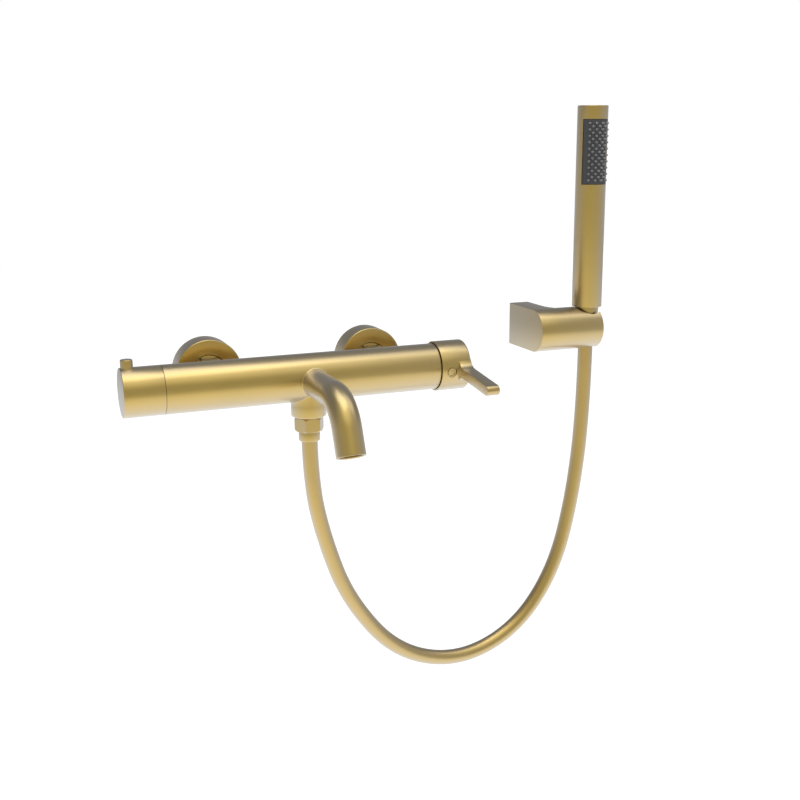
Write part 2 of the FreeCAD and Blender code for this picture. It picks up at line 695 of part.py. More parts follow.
def diverter_spindle():
    start = disc_right() - DIVERTER_DISC_THICK
    return rod(at_bar(start), -X_DIR, SPINDLE_RADIUS, start - SPINDLE_END)


def diverter_knob():
    inner = BAR_RADIUS - KNOB_WALL
    end = KNOB_LENGTH - KNOB_END_THICK
    spindle_end = KNOB_RIGHT - SPINDLE_END + SEAT_GAP
    bore = SPINDLE_RADIUS + SEAT_GAP
    knob = turned([
        (0, inner), (0, BAR_RADIUS - KNOB_CHAMFER), (KNOB_CHAMFER, BAR_RADIUS),
        (KNOB_LENGTH - KNOB_CHAMFER, BAR_RADIUS), (KNOB_LENGTH, BAR_RADIUS - KNOB_CHAMFER),
        (KNOB_LENGTH, 0), (spindle_end, 0), (spindle_end, bore), (KNOB_BOSS_START, bore),
        (KNOB_BOSS_START, KNOB_BOSS_RADIUS), (end, KNOB_BOSS_RADIUS), (end, inner),
    ], at_bar(KNOB_RIGHT), -X_DIR)
    pin_start = V(KNOB_PIN_X, BAR_Y, KNOB_PIN_BOTTOM)
    pin_hole = rod(pin_start, Z_DIR, KNOB_PIN_RADIUS + SEAT_GAP, BAR_RADIUS)
    grub_start = V(KNOB_GRUB_X, BAR_Y, 0)
    grub_hole = rod(grub_start, -Z_DIR, KNOB_GRUB_RADIUS + SEAT_GAP, BAR_RADIUS + OVERCUT)
    return knob.cut(pin_hole).cut(grub_hole)


def diverter_pin():
    length = KNOB_PIN_TOP - KNOB_PIN_BOTTOM
    return turned([
        (0, 0), (0, KNOB_PIN_RADIUS), (length - KNOB_PIN_CHAMFER, KNOB_PIN_RADIUS),
        (length, KNOB_PIN_RADIUS - KNOB_PIN_CHAMFER), (length, 0),
    ], V(KNOB_PIN_X, BAR_Y, KNOB_PIN_BOTTOM), Z_DIR)


def diverter_grub_screw():
    start = V(KNOB_GRUB_X, BAR_Y, -KNOB_BOSS_RADIUS)
    length = KNOB_BOSS_RADIUS - SPINDLE_RADIUS - SEAT_GAP
    screw = rod(start, Z_DIR, KNOB_GRUB_RADIUS, length)
    return screw.cut(hexagon(start, SMALL_SOCKET_FLATS, SMALL_SOCKET_DEPTH, 0, Z_DIR))


def spout_end():
    # The middle of the outlet, and the way the water leaves
    angle = math.radians(SPOUT_BEND_ANGLE)
    along = V(0, -math.cos(angle), -math.sin(angle))
    drop = SPOUT_BEND_RADIUS * (1 - math.cos(angle))
    bend_end = V(0, -SPOUT_BEND_AT - SPOUT_BEND_RADIUS * math.sin(angle), SPOUT_Z - drop)
    return bend_end + along * SPOUT_TAIL, along


def spout_core(radius):
    # A straight run out of the bar, a bend, and a short straight tail
    straight_start = V(0, BAR_Y - BAR_BORE, SPOUT_Z)
    bend_start = V(0, -SPOUT_BEND_AT, SPOUT_Z)
    core = rod(straight_start, -Y_DIR, radius, SPOUT_BEND_AT - WALL_TO_BAR - BAR_BORE)
    circle = Part.Face(Part.Wire(Part.makeCircle(radius, bend_start, -Y_DIR)))
    centre = V(0, -SPOUT_BEND_AT, SPOUT_Z - SPOUT_BEND_RADIUS)
    bend = circle.revolve(centre, X_DIR, SPOUT_BEND_ANGLE)
    end, along = spout_end()
    tail = rod(end - along * SPOUT_TAIL, along, radius, SPOUT_TAIL)
    return core.fuse(bend).fuse(tail)


def spout_pipe():
    end, along = spout_end()
    bore = SPOUT_RADIUS - SPOUT_WALL
    pipe = spout_core(SPOUT_RADIUS).cut(bar_core(BAR_RADIUS + SADDLE_GAP))
    spigot_start = V(0, BAR_Y - BAR_BORE + SPOUT_SPIGOT_IN, SPOUT_Z)
    spigot_length = BAR_WALL + SPOUT_SPIGOT_IN + SPOUT_SPIGOT_OUT
    spigot = rod(spigot_start, -Y_DIR, SPOUT_SPIGOT_RADIUS, spigot_length)
    spigot_bore = SPOUT_SPIGOT_RADIUS - SPOUT_SPIGOT_WALL
    entry = rod(spigot_start, -Y_DIR, spigot_bore, spigot_length)
    inside = spout_core(bore).cut(bar_core(BAR_RADIUS + SPOUT_BORE_START))
    edge = SPOUT_RIM_CHAMFER
    chamfer = turned([(0, bore), (0, bore + edge), (edge, bore)], end, -along)
    outside = SPOUT_RADIUS + OVERCUT
    rim = turned([(0, SPOUT_RADIUS - edge / 2), (0, outside), (edge / 2, outside),
                  (edge / 2, SPOUT_RADIUS)], end, -along)
    return pipe.fuse(spigot).cut(inside).cut(entry).cut(chamfer).cut(rim)


def aerator_housing():
    end, along = spout_end()
    start = end - along * AERATOR_RECESS
    outer = SPOUT_RADIUS - SPOUT_WALL - SEAT_GAP
    return tube(start, -along, outer, outer - AERATOR_WALL, AERATOR_LENGTH)


def aerator_insert():
    end, along = spout_end()
    start = end - along * (AERATOR_RECESS + AERATOR_INSERT_RECESS)
    radius = SPOUT_RADIUS - SPOUT_WALL - AERATOR_WALL - 2 * SEAT_GAP
    insert = rod(start, -along, radius, AERATOR_INSERT_LENGTH)
    side = along.cross(X_DIR)
    for ring, count in AERATOR_RINGS:
        for step in range(count):
            angle = 2 * math.pi * step / count
            hole = start + (X_DIR * math.cos(angle) + side * math.sin(angle)) * (ring * radius)
            insert = insert.cut(rod(hole, -along, AERATOR_HOLE_RADIUS, AERATOR_INSERT_LENGTH))
    return insert


def shower_outlet():
    top = V(OUTLET_X, BAR_Y, OUTLET_SPIGOT_TOP)
    bottom = V(OUTLET_X, BAR_Y, OUTLET_THREAD_END)
    boss_height = -BOSS_BOTTOM
    boss = turned([
        (0, 0), (0, BOSS_RADIUS - BOSS_CHAMFER), (BOSS_CHAMFER, BOSS_RADIUS),
        (boss_height, BOSS_RADIUS), (boss_height, 0),
    ], V(OUTLET_X, BAR_Y, BOSS_BOTTOM), Z_DIR)
    boss = boss.cut(bar_core(BAR_RADIUS + SADDLE_GAP))
    spigot_length = OUTLET_SPIGOT_TOP - BOSS_BOTTOM - OUTLET_OVERLAP
    spigot = rod(top, -Z_DIR, OUTLET_SPIGOT_RADIUS, spigot_length)
    thread = rod(bottom, Z_DIR, HALF_INCH_MEAN_RADIUS, OUTLET_THREAD_LENGTH + OUTLET_OVERLAP)
    bore_top = OUTLET_SPIGOT_TOP - OUTLET_SPIGOT_CAP
    bore = rod(bottom, Z_DIR, OUTLET_BORE, bore_top - OUTLET_THREAD_END)
    feed_start = at_bar(OUTLET_X, SHOWER_TUBE_AT)
    feed = rod(feed_start, -X_DIR, SHOWER_TUBE_RADIUS + SEAT_GAP, BOSS_RADIUS)
    return boss.fuse(spigot).fuse(thread).cut(bore).cut(feed)


def hose_nut():
    start = V(OUTLET_X, BAR_Y, HOSE_NUT_BOTTOM)
    nut = hex_nut(start, HOSE_NUT_FLATS, HOSE_NUT_LENGTH, HOSE_NUT_CHAMFER, 0, Z_DIR)
    lip = rod(start, Z_DIR, HOSE_NUT_LIP_BORE, HOSE_NUT_LIP)
    thread_start = V(OUTLET_X, BAR_Y, HOSE_NUT_BOTTOM + HOSE_NUT_LIP)
    thread = rod(thread_start, Z_DIR, HALF_INCH_MEAN_RADIUS + SEAT_GAP, HOSE_NUT_LENGTH)
    return nut.cut(lip).cut(thread)


def outlet_washer():
    # Fills the nut between the outlet's end and the flange of the hose tail
    low = HOSE_NUT_BOTTOM + HOSE_NUT_LIP + TAIL_FLANGE_THICK
    start = V(OUTLET_X, BAR_Y, low)
    return tube(start, Z_DIR, HALF_INCH_MEAN_RADIUS, WASHER_BORE, OUTLET_THREAD_END - low)


def outlet_hose_tail():
    top = HOSE_NUT_BOTTOM + HOSE_NUT_LIP + TAIL_FLANGE_THICK
    length = top - HOSE_START_Z
    return turned([
        (0, TAIL_BORE), (0, HALF_INCH_MEAN_RADIUS), (TAIL_FLANGE_THICK, HALF_INCH_MEAN_RADIUS),
        (TAIL_FLANGE_THICK, TAIL_RADIUS), (length, TAIL_RADIUS), (length, TAIL_BORE),
    ], V(OUTLET_X, BAR_Y, top), -Z_DIR)


def hose_ferrule():
    hole = TAIL_RADIUS + SEAT_GAP
    skirt = HOSE_DIAMETER / 2.0 + SEAT_GAP
    return turned([
        (0, hole), (0, FERRULE_RADIUS), (FERRULE_LENGTH - FERRULE_CHAMFER, FERRULE_RADIUS),
        (FERRULE_LENGTH, FERRULE_RADIUS - FERRULE_CHAMFER), (FERRULE_LENGTH, skirt),
        (FERRULE_TOP_THICK, skirt), (FERRULE_TOP_THICK, hole),
    ], V(OUTLET_X, BAR_Y, FERRULE_TOP), -Z_DIR)


def route(points):
    # Straight runs joined by arcs that touch them
    corners = [V(*point) for point in points]
    edges = []
    here = corners[0]
    for before, corner, after in zip(corners, corners[1:], corners[2:]):
        back = (before - corner).normalize()
        ahead = (after - corner).normalize()
        half_turn = (math.pi - back.getAngle(ahead)) / 2.0
        reach = ARC_SHARE * min((before - corner).Length, (after - corner).Length)
        radius = reach / math.tan(half_turn)
        start = corner + back * reach
        end = corner + ahead * reach
        inward = (back + ahead).normalize()
        middle = corner + inward * (radius / math.cos(half_turn) - radius)
        edges.append(Part.LineSegment(here, start).toShape())
        edges.append(Part.Arc(start, middle, end).toShape())
        print("hose arc radius %.0f mm" % radius)
        here = end
    edges.append(Part.LineSegment(here, corners[-1]).toShape())
    return Part.Wire(edges)


def shower_hose():
    path = route(HOSE_POINTS)
    first = V(*HOSE_POINTS[0])
    section = Part.Wire(Part.makeCircle(HOSE_DIAMETER / 2.0, first, -Z_DIR))
    hose = path.makePipeShell([section], True, False)
    area = math.pi * HOSE_DIAMETER ** 2 / 4.0
    print("hose length %.1f mm, volume / (section x length) %.4f"
          % (path.Length, hose.Volume / (area * path.Length)))
    return hose


def cone_nut():
    swivel_lip = CONE_LIP_TOP - CONE_BOTTOM - CONE_LIP
    lip_bore = TAIL_RADIUS + MOVE_GAP
    top = CONE_LENGTH
    thread = HALF_INCH_MEAN_RADIUS + SEAT_GAP
    return turned([
        (0, CONE_HOSE_BORE), (0, CONE_BOTTOM_RADIUS - CONE_CHAMFER),
        (CONE_CHAMFER, CONE_BOTTOM_RADIUS),
        (top, CONE_TOP_RADIUS), (top, thread), (swivel_lip + CONE_LIP, thread),
        (swivel_lip + CONE_LIP, lip_bore), (swivel_lip, lip_bore), (swivel_lip, CONE_HOSE_BORE),
    ], V(SEAT_X, SEAT_Y, CONE_BOTTOM), Z_DIR)


def cone_hose_tail():
    # Stays with the hose while the cone nut and the handset turn round it
    flange_low = CONE_LIP_TOP + MOVE_GAP
    length = CONE_TAIL_LENGTH + MOVE_GAP
    radius = HALF_INCH_MEAN_RADIUS - MOVE_GAP
    return turned([
        (-TAIL_FLANGE_THICK, TAIL_BORE), (-TAIL_FLANGE_THICK, radius), (0, radius),
        (0, TAIL_RADIUS), (length, TAIL_RADIUS), (length, TAIL_BORE),
    ], V(SEAT_X, SEAT_Y, flange_low), -Z_DIR)


def cone_washer():
    low = CONE_LIP_TOP + 2 * MOVE_GAP + TAIL_FLANGE_THICK
    high = HANDSET_BOTTOM - HANDSET_THREAD_LENGTH
    return tube(V(SEAT_X, SEAT_Y, low), Z_DIR, HALF_INCH_MEAN_RADIUS, WASHER_BORE, high - low)


def handset_at(z):
    return V(SEAT_X, SEAT_Y, z)


def handset_shell():
    inner = HANDSET_RADIUS - HANDSET_WALL
    length = HANDSET_TOP - HANDSET_BOTTOM
    shell = turned([
        (0, inner), (0, HANDSET_RADIUS - HANDSET_CHAMFER), (HANDSET_CHAMFER, HANDSET_RADIUS),
        (length - HANDSET_CHAMFER, HANDSET_RADIUS), (length, HANDSET_RADIUS - HANDSET_CHAMFER),
        (length, inner),
    ], handset_at(HANDSET_BOTTOM), Z_DIR)
    window = wedge(inner - OVERCUT, HANDSET_RADIUS + OVERCUT, FACE_BOTTOM, FACE_TOP, FACE_HALF_ANGLE)
    return shell.cut(window)


def wedge(inner, outer, low, high, half_angle):
    # A curved plate that faces the user, centred on the handset
    flat = Part.Face(Part.makePolygon([V(inner, 0, 0), V(outer, 0, 0), V(outer, 0, high - low),
                                       V(inner, 0, high - low), V(inner, 0, 0)]))
    shape = flat.revolve(V(0, 0, 0), Z_DIR, 2 * half_angle)
    turn = FreeCAD.Rotation(Z_DIR, -90 - half_angle)
    shape.Placement = FreeCAD.Placement(handset_at(low), turn)
    return shape


def nozzle_places():
    # Rows of four with rows of three between them
    places = []
    for row in range(2 * NOZZLE_ROWS - 1):
        count = 4 if row % 2 == 0 else 3
        z = NOZZLE_FIRST + row * NOZZLE_PITCH / 2.0
        for step in range(count):
            angle = -90 + (step - (count - 1) / 2.0) * NOZZLE_STEP_ANGLE
            places.append((z, math.radians(angle)))
    return places


def nozzle_rods(radius, inner, outer):
    rods = []
    for z, angle in nozzle_places():
        way = V(math.cos(angle), math.sin(angle), 0)
        rods.append(rod(handset_at(z) + way * inner, way, radius, outer - inner))
    return rods


def face_outer():
    return HANDSET_RADIUS - FACE_SINK


def spray_face():
    angle = FACE_HALF_ANGLE - math.degrees(SEAT_GAP / HANDSET_RADIUS)
    outer = face_outer()
    plate = wedge(outer - FACE_THICK, outer, FACE_BOTTOM + SEAT_GAP, FACE_TOP - SEAT_GAP, angle)
    holes = nozzle_rods(NOZZLE_RADIUS + NOZZLE_GAP, outer - FACE_THICK - OVERCUT, outer + OVERCUT)
    return plate.cut(Part.makeCompound(holes))


def spray_nozzles():
    back = face_outer() - FACE_THICK - SEAT_GAP
    mat = wedge(back - MAT_THICK, back, FACE_BOTTOM + MAT_MARGIN, FACE_TOP - MAT_MARGIN,
                FACE_HALF_ANGLE - MAT_SHORT_ANGLE)
    rods = nozzle_rods(NOZZLE_RADIUS, back - MAT_THICK / 2.0, HANDSET_RADIUS + NOZZLE_PROUD)
    return mat.multiFuse(rods)


def handset_cap():
    radius = HANDSET_RADIUS - HANDSET_WALL - SEAT_GAP
    return rod(handset_at(HANDSET_TOP - CAP_THICK), Z_DIR, radius, CAP_THICK)


def handset_connector():
    plug = HANDSET_RADIUS - HANDSET_WALL - SEAT_GAP
    thread = HANDSET_THREAD_LENGTH
    length = thread + CONNECTOR_LENGTH
    bottom = HANDSET_BOTTOM - thread
    body = turned([
        (0, WASHER_BORE), (0, HALF_INCH_MEAN_RADIUS), (thread, HALF_INCH_MEAN_RADIUS),
        (thread, plug), (length, plug), (length, WASHER_BORE),
    ], handset_at(bottom), Z_DIR)
    socket_start = V(SEAT_X, SEAT_Y + WATERWAY_BACK, bottom + length - CONNECTOR_SOCKET)
    socket = rod(socket_start, Z_DIR, WATERWAY_RADIUS + SEAT_GAP, CONNECTOR_SOCKET)
    return body.cut(socket)


def handset_waterway():
    low = HANDSET_BOTTOM + CONNECTOR_LENGTH - CONNECTOR_SOCKET
    start = V(SEAT_X, SEAT_Y + WATERWAY_BACK, low)
    length = WATERWAY_TOP - low
    way = tube(start, Z_DIR, WATERWAY_RADIUS, WATERWAY_RADIUS - WATERWAY_WALL, length)
    for step in range(WATERWAY_PORTS):
        z = FACE_BOTTOM + (step + 0.5) * (FACE_TOP - FACE_BOTTOM) / WATERWAY_PORTS
        port_start = V(SEAT_X, SEAT_Y + WATERWAY_BACK, z)
        port = rod(port_start, -Y_DIR, WATERWAY_PORT_RADIUS, WATERWAY_RADIUS + OVERCUT)
        way = way.cut(port)
    return way


def holder_centre(x):
    return V(x, -HOLDER_OUT, HOLDER_Z)


def holder_cove(x):
    # A hollow fillet that leads the flat side of the foot into the back of the round arm
    arm = HOLDER_RADIUS - HOLDER_COVE_SINK
    bend = HOLDER_COVE * (1 - math.sqrt(0.5))
    ring = turned([
        (0, arm - OVERCUT), (0, arm + HOLDER_COVE),
        ((bend, arm + bend), (HOLDER_COVE, arm)), (HOLDER_COVE, arm - OVERCUT),
    ], holder_centre(x), X_DIR)
    low = V(x, -HOLDER_OUT, HOLDER_Z - HOLDER_RADIUS)
    high = V(x + HOLDER_COVE, 0, HOLDER_Z + HOLDER_RADIUS)
    return ring.common(block(low, high))


def holder_body():
    block_right = HOLDER_LEFT + HOLDER_BLOCK_WIDTH
    edge = HOLDER_CHAMFER
    length = HOLDER_RIGHT - HOLDER_LEFT
    bar = turned([
        (0, 0), (0, HOLDER_RADIUS - edge), (edge, HOLDER_RADIUS), (length - edge, HOLDER_RADIUS),
        (length, HOLDER_RADIUS - edge), (length, 0),
    ], holder_centre(HOLDER_LEFT), X_DIR)
    low = V(HOLDER_LEFT, -HOLDER_OUT, HOLDER_Z - HOLDER_RADIUS)
    high = V(block_right, 0, HOLDER_Z + HOLDER_RADIUS)
    foot = block(low, high)
    body = foot.fuse(bar).fuse(holder_cove(block_right)).removeSplitter()
    half_height = HOLDER_RADIUS - POCKET_MARGIN
    pocket_low = V(HOLDER_LEFT + POCKET_MARGIN, -POCKET_DEPTH, HOLDER_Z - half_height)
    pocket_high = V(block_right - POCKET_MARGIN, 0, HOLDER_Z + half_height)
    grub = rod(V((HOLDER_LEFT + block_right) / 2.0, -HOLDER_GRUB_OUT, HOLDER_Z - HOLDER_RADIUS),
               Z_DIR, HOLDER_GRUB_RADIUS + SEAT_GAP, POCKET_MARGIN)
    return body.cut(block(pocket_low, pocket_high)).cut(grub).cut(handset_seat())


def handset_seat():
    # A tapered hole for the cone nut, with a slot to the open end that lets the hose in
    low = HOLDER_Z - HOLDER_RADIUS - OVERCUT
    high = HOLDER_Z + HOLDER_RADIUS + OVERCUT
    slope = (CONE_TOP_RADIUS - CONE_BOTTOM_RADIUS) / CONE_LENGTH
    top_radius = CONE_TOP_RADIUS + MOVE_GAP + slope * (high - CONE_TOP)
    seat = turned([
        (low, 0), (low, CONE_BOTTOM_RADIUS + MOVE_GAP), (CONE_BOTTOM, CONE_BOTTOM_RADIUS + MOVE_GAP),
        (high, top_radius), (high, 0),
    ], V(SEAT_X, SEAT_Y, 0), Z_DIR)
    half = HOSE_SLOT_WIDTH / 2.0
    slot = block(V(SEAT_X, SEAT_Y - half, low), V(HOLDER_RIGHT + OVERCUT, SEAT_Y + half, high))
    return seat.fuse(slot)


def plate_hole_heights():
    middle = HOLDER_Z + PLATE_HOLES_UP
    return (middle - PLATE_HOLE_SPACING / 2.0, middle + PLATE_HOLE_SPACING / 2.0)


def holder_plate():
    gap = MOVE_GAP
    left = HOLDER_LEFT + POCKET_MARGIN + gap
    right = HOLDER_LEFT + HOLDER_BLOCK_WIDTH - POCKET_MARGIN - gap
    low = HOLDER_Z - HOLDER_RADIUS + POCKET_MARGIN + gap
    high = HOLDER_Z + HOLDER_RADIUS - POCKET_MARGIN - gap
    plate = block(V(left, -PLATE_THICK, low), V(right, 0, high))
    lug = block(V(left, -PLATE_LUG_OUT, low), V(right, 0, low + PLATE_LUG_HEIGHT))
    plate = plate.fuse(lug)
    for z in plate_hole_heights():
        hole_start = V((left + right) / 2.0, -PLATE_THICK, z)
        plate = plate.cut(rod(hole_start, Y_DIR, PLATE_HOLE_RADIUS, PLATE_THICK))
    return plate


def holder_grub_screw():
    x = HOLDER_LEFT + HOLDER_BLOCK_WIDTH / 2.0
    low = HOLDER_Z - HOLDER_RADIUS + MOVE_GAP
    start = V(x, -HOLDER_GRUB_OUT, low)
    screw = rod(start, Z_DIR, HOLDER_GRUB_RADIUS, POCKET_MARGIN)
    return screw.cut(hexagon(start, SMALL_SOCKET_FLATS, SMALL_SOCKET_DEPTH, 0, Z_DIR))


def all_pieces():
    pieces = {"valve_body": valve_body()}
    for name, side in (("hot", -1), ("cold", 1)):
        x = side * HALF_SPACING
        pieces[name + "_inlet_nipple"] = inlet_nipple(x)
        pieces[name + "_union_nut"] = union_nut(x)
        pieces[name + "_inlet_washer"] = inlet_washer(x)
        pieces[name + "_inlet_filter"] = inlet_filter(x)
        pieces[name + "_check_valve"] = check_valve(x)
        pieces[name + "_s_union"] = s_union(x)
        pieces[name + "_wall_flange"] = wall_flange(x)
    spout_tube_end = HOT_WALL_X + PARTITION
    shower_tube_end = OUTLET_X - OUTLET_BORE - SHOWER_TUBE_SHORT
    for name, start, end, across, radius in (
            ("hot", HOT_WALL_X, CARTRIDGE_SEAT_X, HOT_TUBE_AT, TUBE_RADIUS),
            ("mixed", DIVERTER_WALL_X, CARTRIDGE_SEAT_X, MIXED_TUBE_AT, TUBE_RADIUS),
            ("spout", DIVERTER_WALL_X, spout_tube_end, SPOUT_TUBE_AT, TUBE_RADIUS),
            ("shower", DIVERTER_WALL_X, shower_tube_end, SHOWER_TUBE_AT, SHOWER_TUBE_RADIUS)):
        pieces[name + "_water_tube"] = water_tube(start, end, across, radius)
    pieces["cartridge_gasket"] = cartridge_gasket()
    pieces["cartridge_housing"] = cartridge_housing()
    pieces["cartridge_port_disc"] = port_disc()
    pieces["cartridge_retainer"] = cartridge_retainer()
    pieces["mixing_disc"] = mixing_disc()
    pieces["temperature_carrier"] = temperature_carrier()
    pieces["lever_pivot_pin"] = lever_pivot_pin()
    pieces["lever_stem"] = lever_stem()
    pieces["mixer_handle"] = mixer_handle()
    pieces["handle_grub_screw"] = handle_grub_screw()
    pieces["handle_plug"] = handle_plug()
    pieces["diverter_headwork"] = diverter_headwork()
    pieces["diverter_port_plate"] = diverter_port_plate()
    pieces["diverter_seal_ring"] = diverter_seal_ring()
    pieces["diverter_disc"] = diverter_disc()
    pieces["diverter_spindle"] = diverter_spindle()
    pieces["diverter_knob"] = diverter_knob()
    pieces["diverter_pin"] = diverter_pin()
    pieces["diverter_grub_screw"] = diverter_grub_screw()
    pieces["spout_pipe"] = spout_pipe()
    pieces["aerator_housing"] = aerator_housing()
    pieces["aerator_insert"] = aerator_insert()
    pieces["shower_outlet"] = shower_outlet()
    pieces["hose_nut"] = hose_nut()
    pieces["outlet_washer"] = outlet_washer()
    pieces["outlet_hose_tail"] = outlet_hose_tail()
    pieces["hose_ferrule"] = hose_ferrule()
    pieces["shower_hose"] = shower_hose()
    pieces["cone_nut"] = cone_nut()
    pieces["cone_hose_tail"] = cone_hose_tail()
    pieces["cone_washer"] = cone_washer()
    pieces["handset_shell"] = handset_shell()
    pieces["handset_cap"] = handset_cap()
    pieces["handset_connector"] = handset_connector()
    pieces["handset_waterway"] = handset_waterway()
    pieces["spray_face"] = spray_face()
    pieces["spray_nozzles"] = spray_nozzles()
    pieces["holder_body"] = holder_body()
    pieces["holder_plate"] = holder_plate()
    pieces["holder_grub_screw"] = holder_grub_screw()
    return pieces


os.makedirs("parts", exist_ok=True)
for node, shape in all_pieces().items():
    if not shape.isValid() or shape.Volume <= 0:
        raise ValueError("bad solid: " + node)
    shape.exportStep("parts/" + node + ".step")
    print("%-22s solids %d volume %.0f mm3" % (node, len(shape.Solids), shape.Volume))
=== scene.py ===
# %% [markdown]
# # A bath shower mixer in satin gold
# A round bar valve hangs on two wall unions. A lever cup turns and tilts at its right-hand end, and
# a diverter knob turns at its left-hand end. A spout comes out of the front, a hose leaves the
# underside, hangs in a U and rises to a stick handset in a wall holder.
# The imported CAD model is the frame: it fixes the joints and the main sizes. This script puts finely
# finished pieces over it, which differ from it only in detail, gives each a finish, and lights it
# softly.

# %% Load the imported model
import json
import math

import bmesh
import bpy
from mathutils import Matrix, Vector


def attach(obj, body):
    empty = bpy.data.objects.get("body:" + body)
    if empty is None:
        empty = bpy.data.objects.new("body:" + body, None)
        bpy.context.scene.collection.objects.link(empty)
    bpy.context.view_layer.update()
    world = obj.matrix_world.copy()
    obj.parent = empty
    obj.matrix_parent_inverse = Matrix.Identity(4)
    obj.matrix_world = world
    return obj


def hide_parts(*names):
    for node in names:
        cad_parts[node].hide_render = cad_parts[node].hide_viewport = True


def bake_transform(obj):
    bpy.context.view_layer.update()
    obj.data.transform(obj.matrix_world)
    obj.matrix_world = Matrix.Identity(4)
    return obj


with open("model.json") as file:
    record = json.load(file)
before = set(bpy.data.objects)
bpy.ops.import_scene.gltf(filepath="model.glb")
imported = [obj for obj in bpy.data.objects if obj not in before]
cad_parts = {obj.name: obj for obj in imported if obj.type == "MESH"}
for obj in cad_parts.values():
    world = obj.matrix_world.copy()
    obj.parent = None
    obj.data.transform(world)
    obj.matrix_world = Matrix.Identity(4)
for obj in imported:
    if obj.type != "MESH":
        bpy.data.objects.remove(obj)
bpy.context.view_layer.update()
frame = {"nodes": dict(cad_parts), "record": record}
NODES = frame["nodes"]
BODY_OF = {n: body for body, names in frame["record"]["behaviour"]["bodies"].items() for n in names}
SLOT_OF = {part["node"]: part["material_slot"] for part in frame["record"]["subparts"]}

# %% [markdown]
# ## The camera
# The photograph was taken from the left, a little above the bar. The camera's place and angle were
# solved from the outlines of the bar, the flanges, the holder and the handset, so the script only
# states them. The rotation matrix is built from the three turns, because its columns are then the
# camera's own right, up and back directions.

# %% Camera at the photograph's viewpoint
MM = 0.001
CAMERA_AT = Vector((-265.351, -960.249, 199.474)) * MM
YAW, PITCH, ROLL = (math.radians(a) for a in (22.394, 13.78, -0.216))
FOCAL_PIXELS = 1100.0
CENTRE_PIXEL = (417.786, 406.462)
FRAME_PIXELS = 800.0
SENSOR = 36.0

forward = Vector((math.sin(YAW) * math.cos(PITCH), math.cos(YAW) * math.cos(PITCH), -math.sin(PITCH)))
level_right = Vector((math.cos(YAW), -math.sin(YAW), 0))
level_up = level_right.cross(forward)
right = math.cos(ROLL) * level_right + math.sin(ROLL) * level_up
up = math.cos(ROLL) * level_up - math.sin(ROLL) * level_right

lens = bpy.data.cameras.new("photo_camera")
lens.sensor_width = SENSOR
lens.lens = FOCAL_PIXELS / FRAME_PIXELS * SENSOR
lens.shift_x = (FRAME_PIXELS / 2 - CENTRE_PIXEL[0]) / FRAME_PIXELS
lens.shift_y = (CENTRE_PIXEL[1] - FRAME_PIXELS / 2) / FRAME_PIXELS
lens.clip_start = 0.01
camera = bpy.data.objects.new("photo_camera", lens)
camera.matrix_world = Matrix.Translation(CAMERA_AT) @ Matrix((right, up, -forward)).transposed().to_4x4()
bpy.context.scene.collection.objects.link(camera)
bpy.context.scene.camera = camera
print("camera", [round(c, 3) for c in camera.location], "lens", round(lens.lens, 2))

# %% [markdown]
# ## The hose's line
# The hose is a fixed length of tube that leaves the outlet straight down, hangs in a loose U and
# rises into the cone nut. A NURBS curve through a few control points gives one smooth line. A bevel
# on the curve would make the tube at once, but here the curve is only used to read its centreline,
# and the tube is a mesh built along it.

# %% The hose's route and its centreline
HOSE_DIAMETER = 0.014
HOSE_ROUTE = [
    (-0.0015, -0.0730, -0.04875), (-0.0015, -0.0730, -0.0950), (0.0100, -0.0720, -0.1500),
    (0.0320, -0.0702, -0.2120), (0.0800, -0.0661, -0.2750), (0.1470, -0.0604, -0.3000),
    (0.2130, -0.0548, -0.2800), (0.2570, -0.0510, -0.2250), (0.2770, -0.0493, -0.1500),
    (0.2867, -0.0485, -0.0620), (0.2867, -0.0485, 0.0108),
]


def centreline(points, resolution):
    curve = bpy.data.curves.new("route", "CURVE")
    curve.dimensions = "3D"
    spline = curve.splines.new("NURBS")
    spline.points.add(len(points) - 1)
    for point, place in zip(spline.points, points):
        point.co = (*place, 1)
    spline.order_u = 3
    spline.use_endpoint_u = True
    curve.resolution_u = resolution
    route = bpy.data.objects.new("route", curve)
    bpy.context.scene.collection.objects.link(route)
    mesh = bpy.data.meshes.new_from_object(route.evaluated_get(bpy.context.evaluated_depsgraph_get()))
    line = [v.co.copy() for v in mesh.vertices]
    bpy.data.objects.remove(route)
    bpy.data.curves.remove(curve)
    bpy.data.meshes.remove(mesh)
    return line


hose_line = centreline(HOSE_ROUTE, 24)

# %% [markdown]
# ## Writing finishes as sums
# A finish is a small network of shader nodes. Written as Python expressions it stays readable: the
# class Value wraps a node's output, and its operators add Math nodes. Every other node comes from
# one method, Finish.node, which takes the node's type, its settings and what its sockets get.

# %% Shader sums


class Value:
    def __init__(self, finish, socket):
        self.finish = finish
        self.socket = socket

    def join(self, operation, first, second):
        return self.finish.node("ShaderNodeMath", {"operation": operation}, {0: first, 1: second})

    def __add__(self, other):
        return self.join("ADD", self, other)

    def __sub__(self, other):
        return self.join("SUBTRACT", self, other)

    def __rsub__(self, other):
        return self.join("SUBTRACT", other, self)

    def __mul__(self, other):
        return self.join("MULTIPLY", self, other)

    __radd__ = __add__
    __rmul__ = __mul__


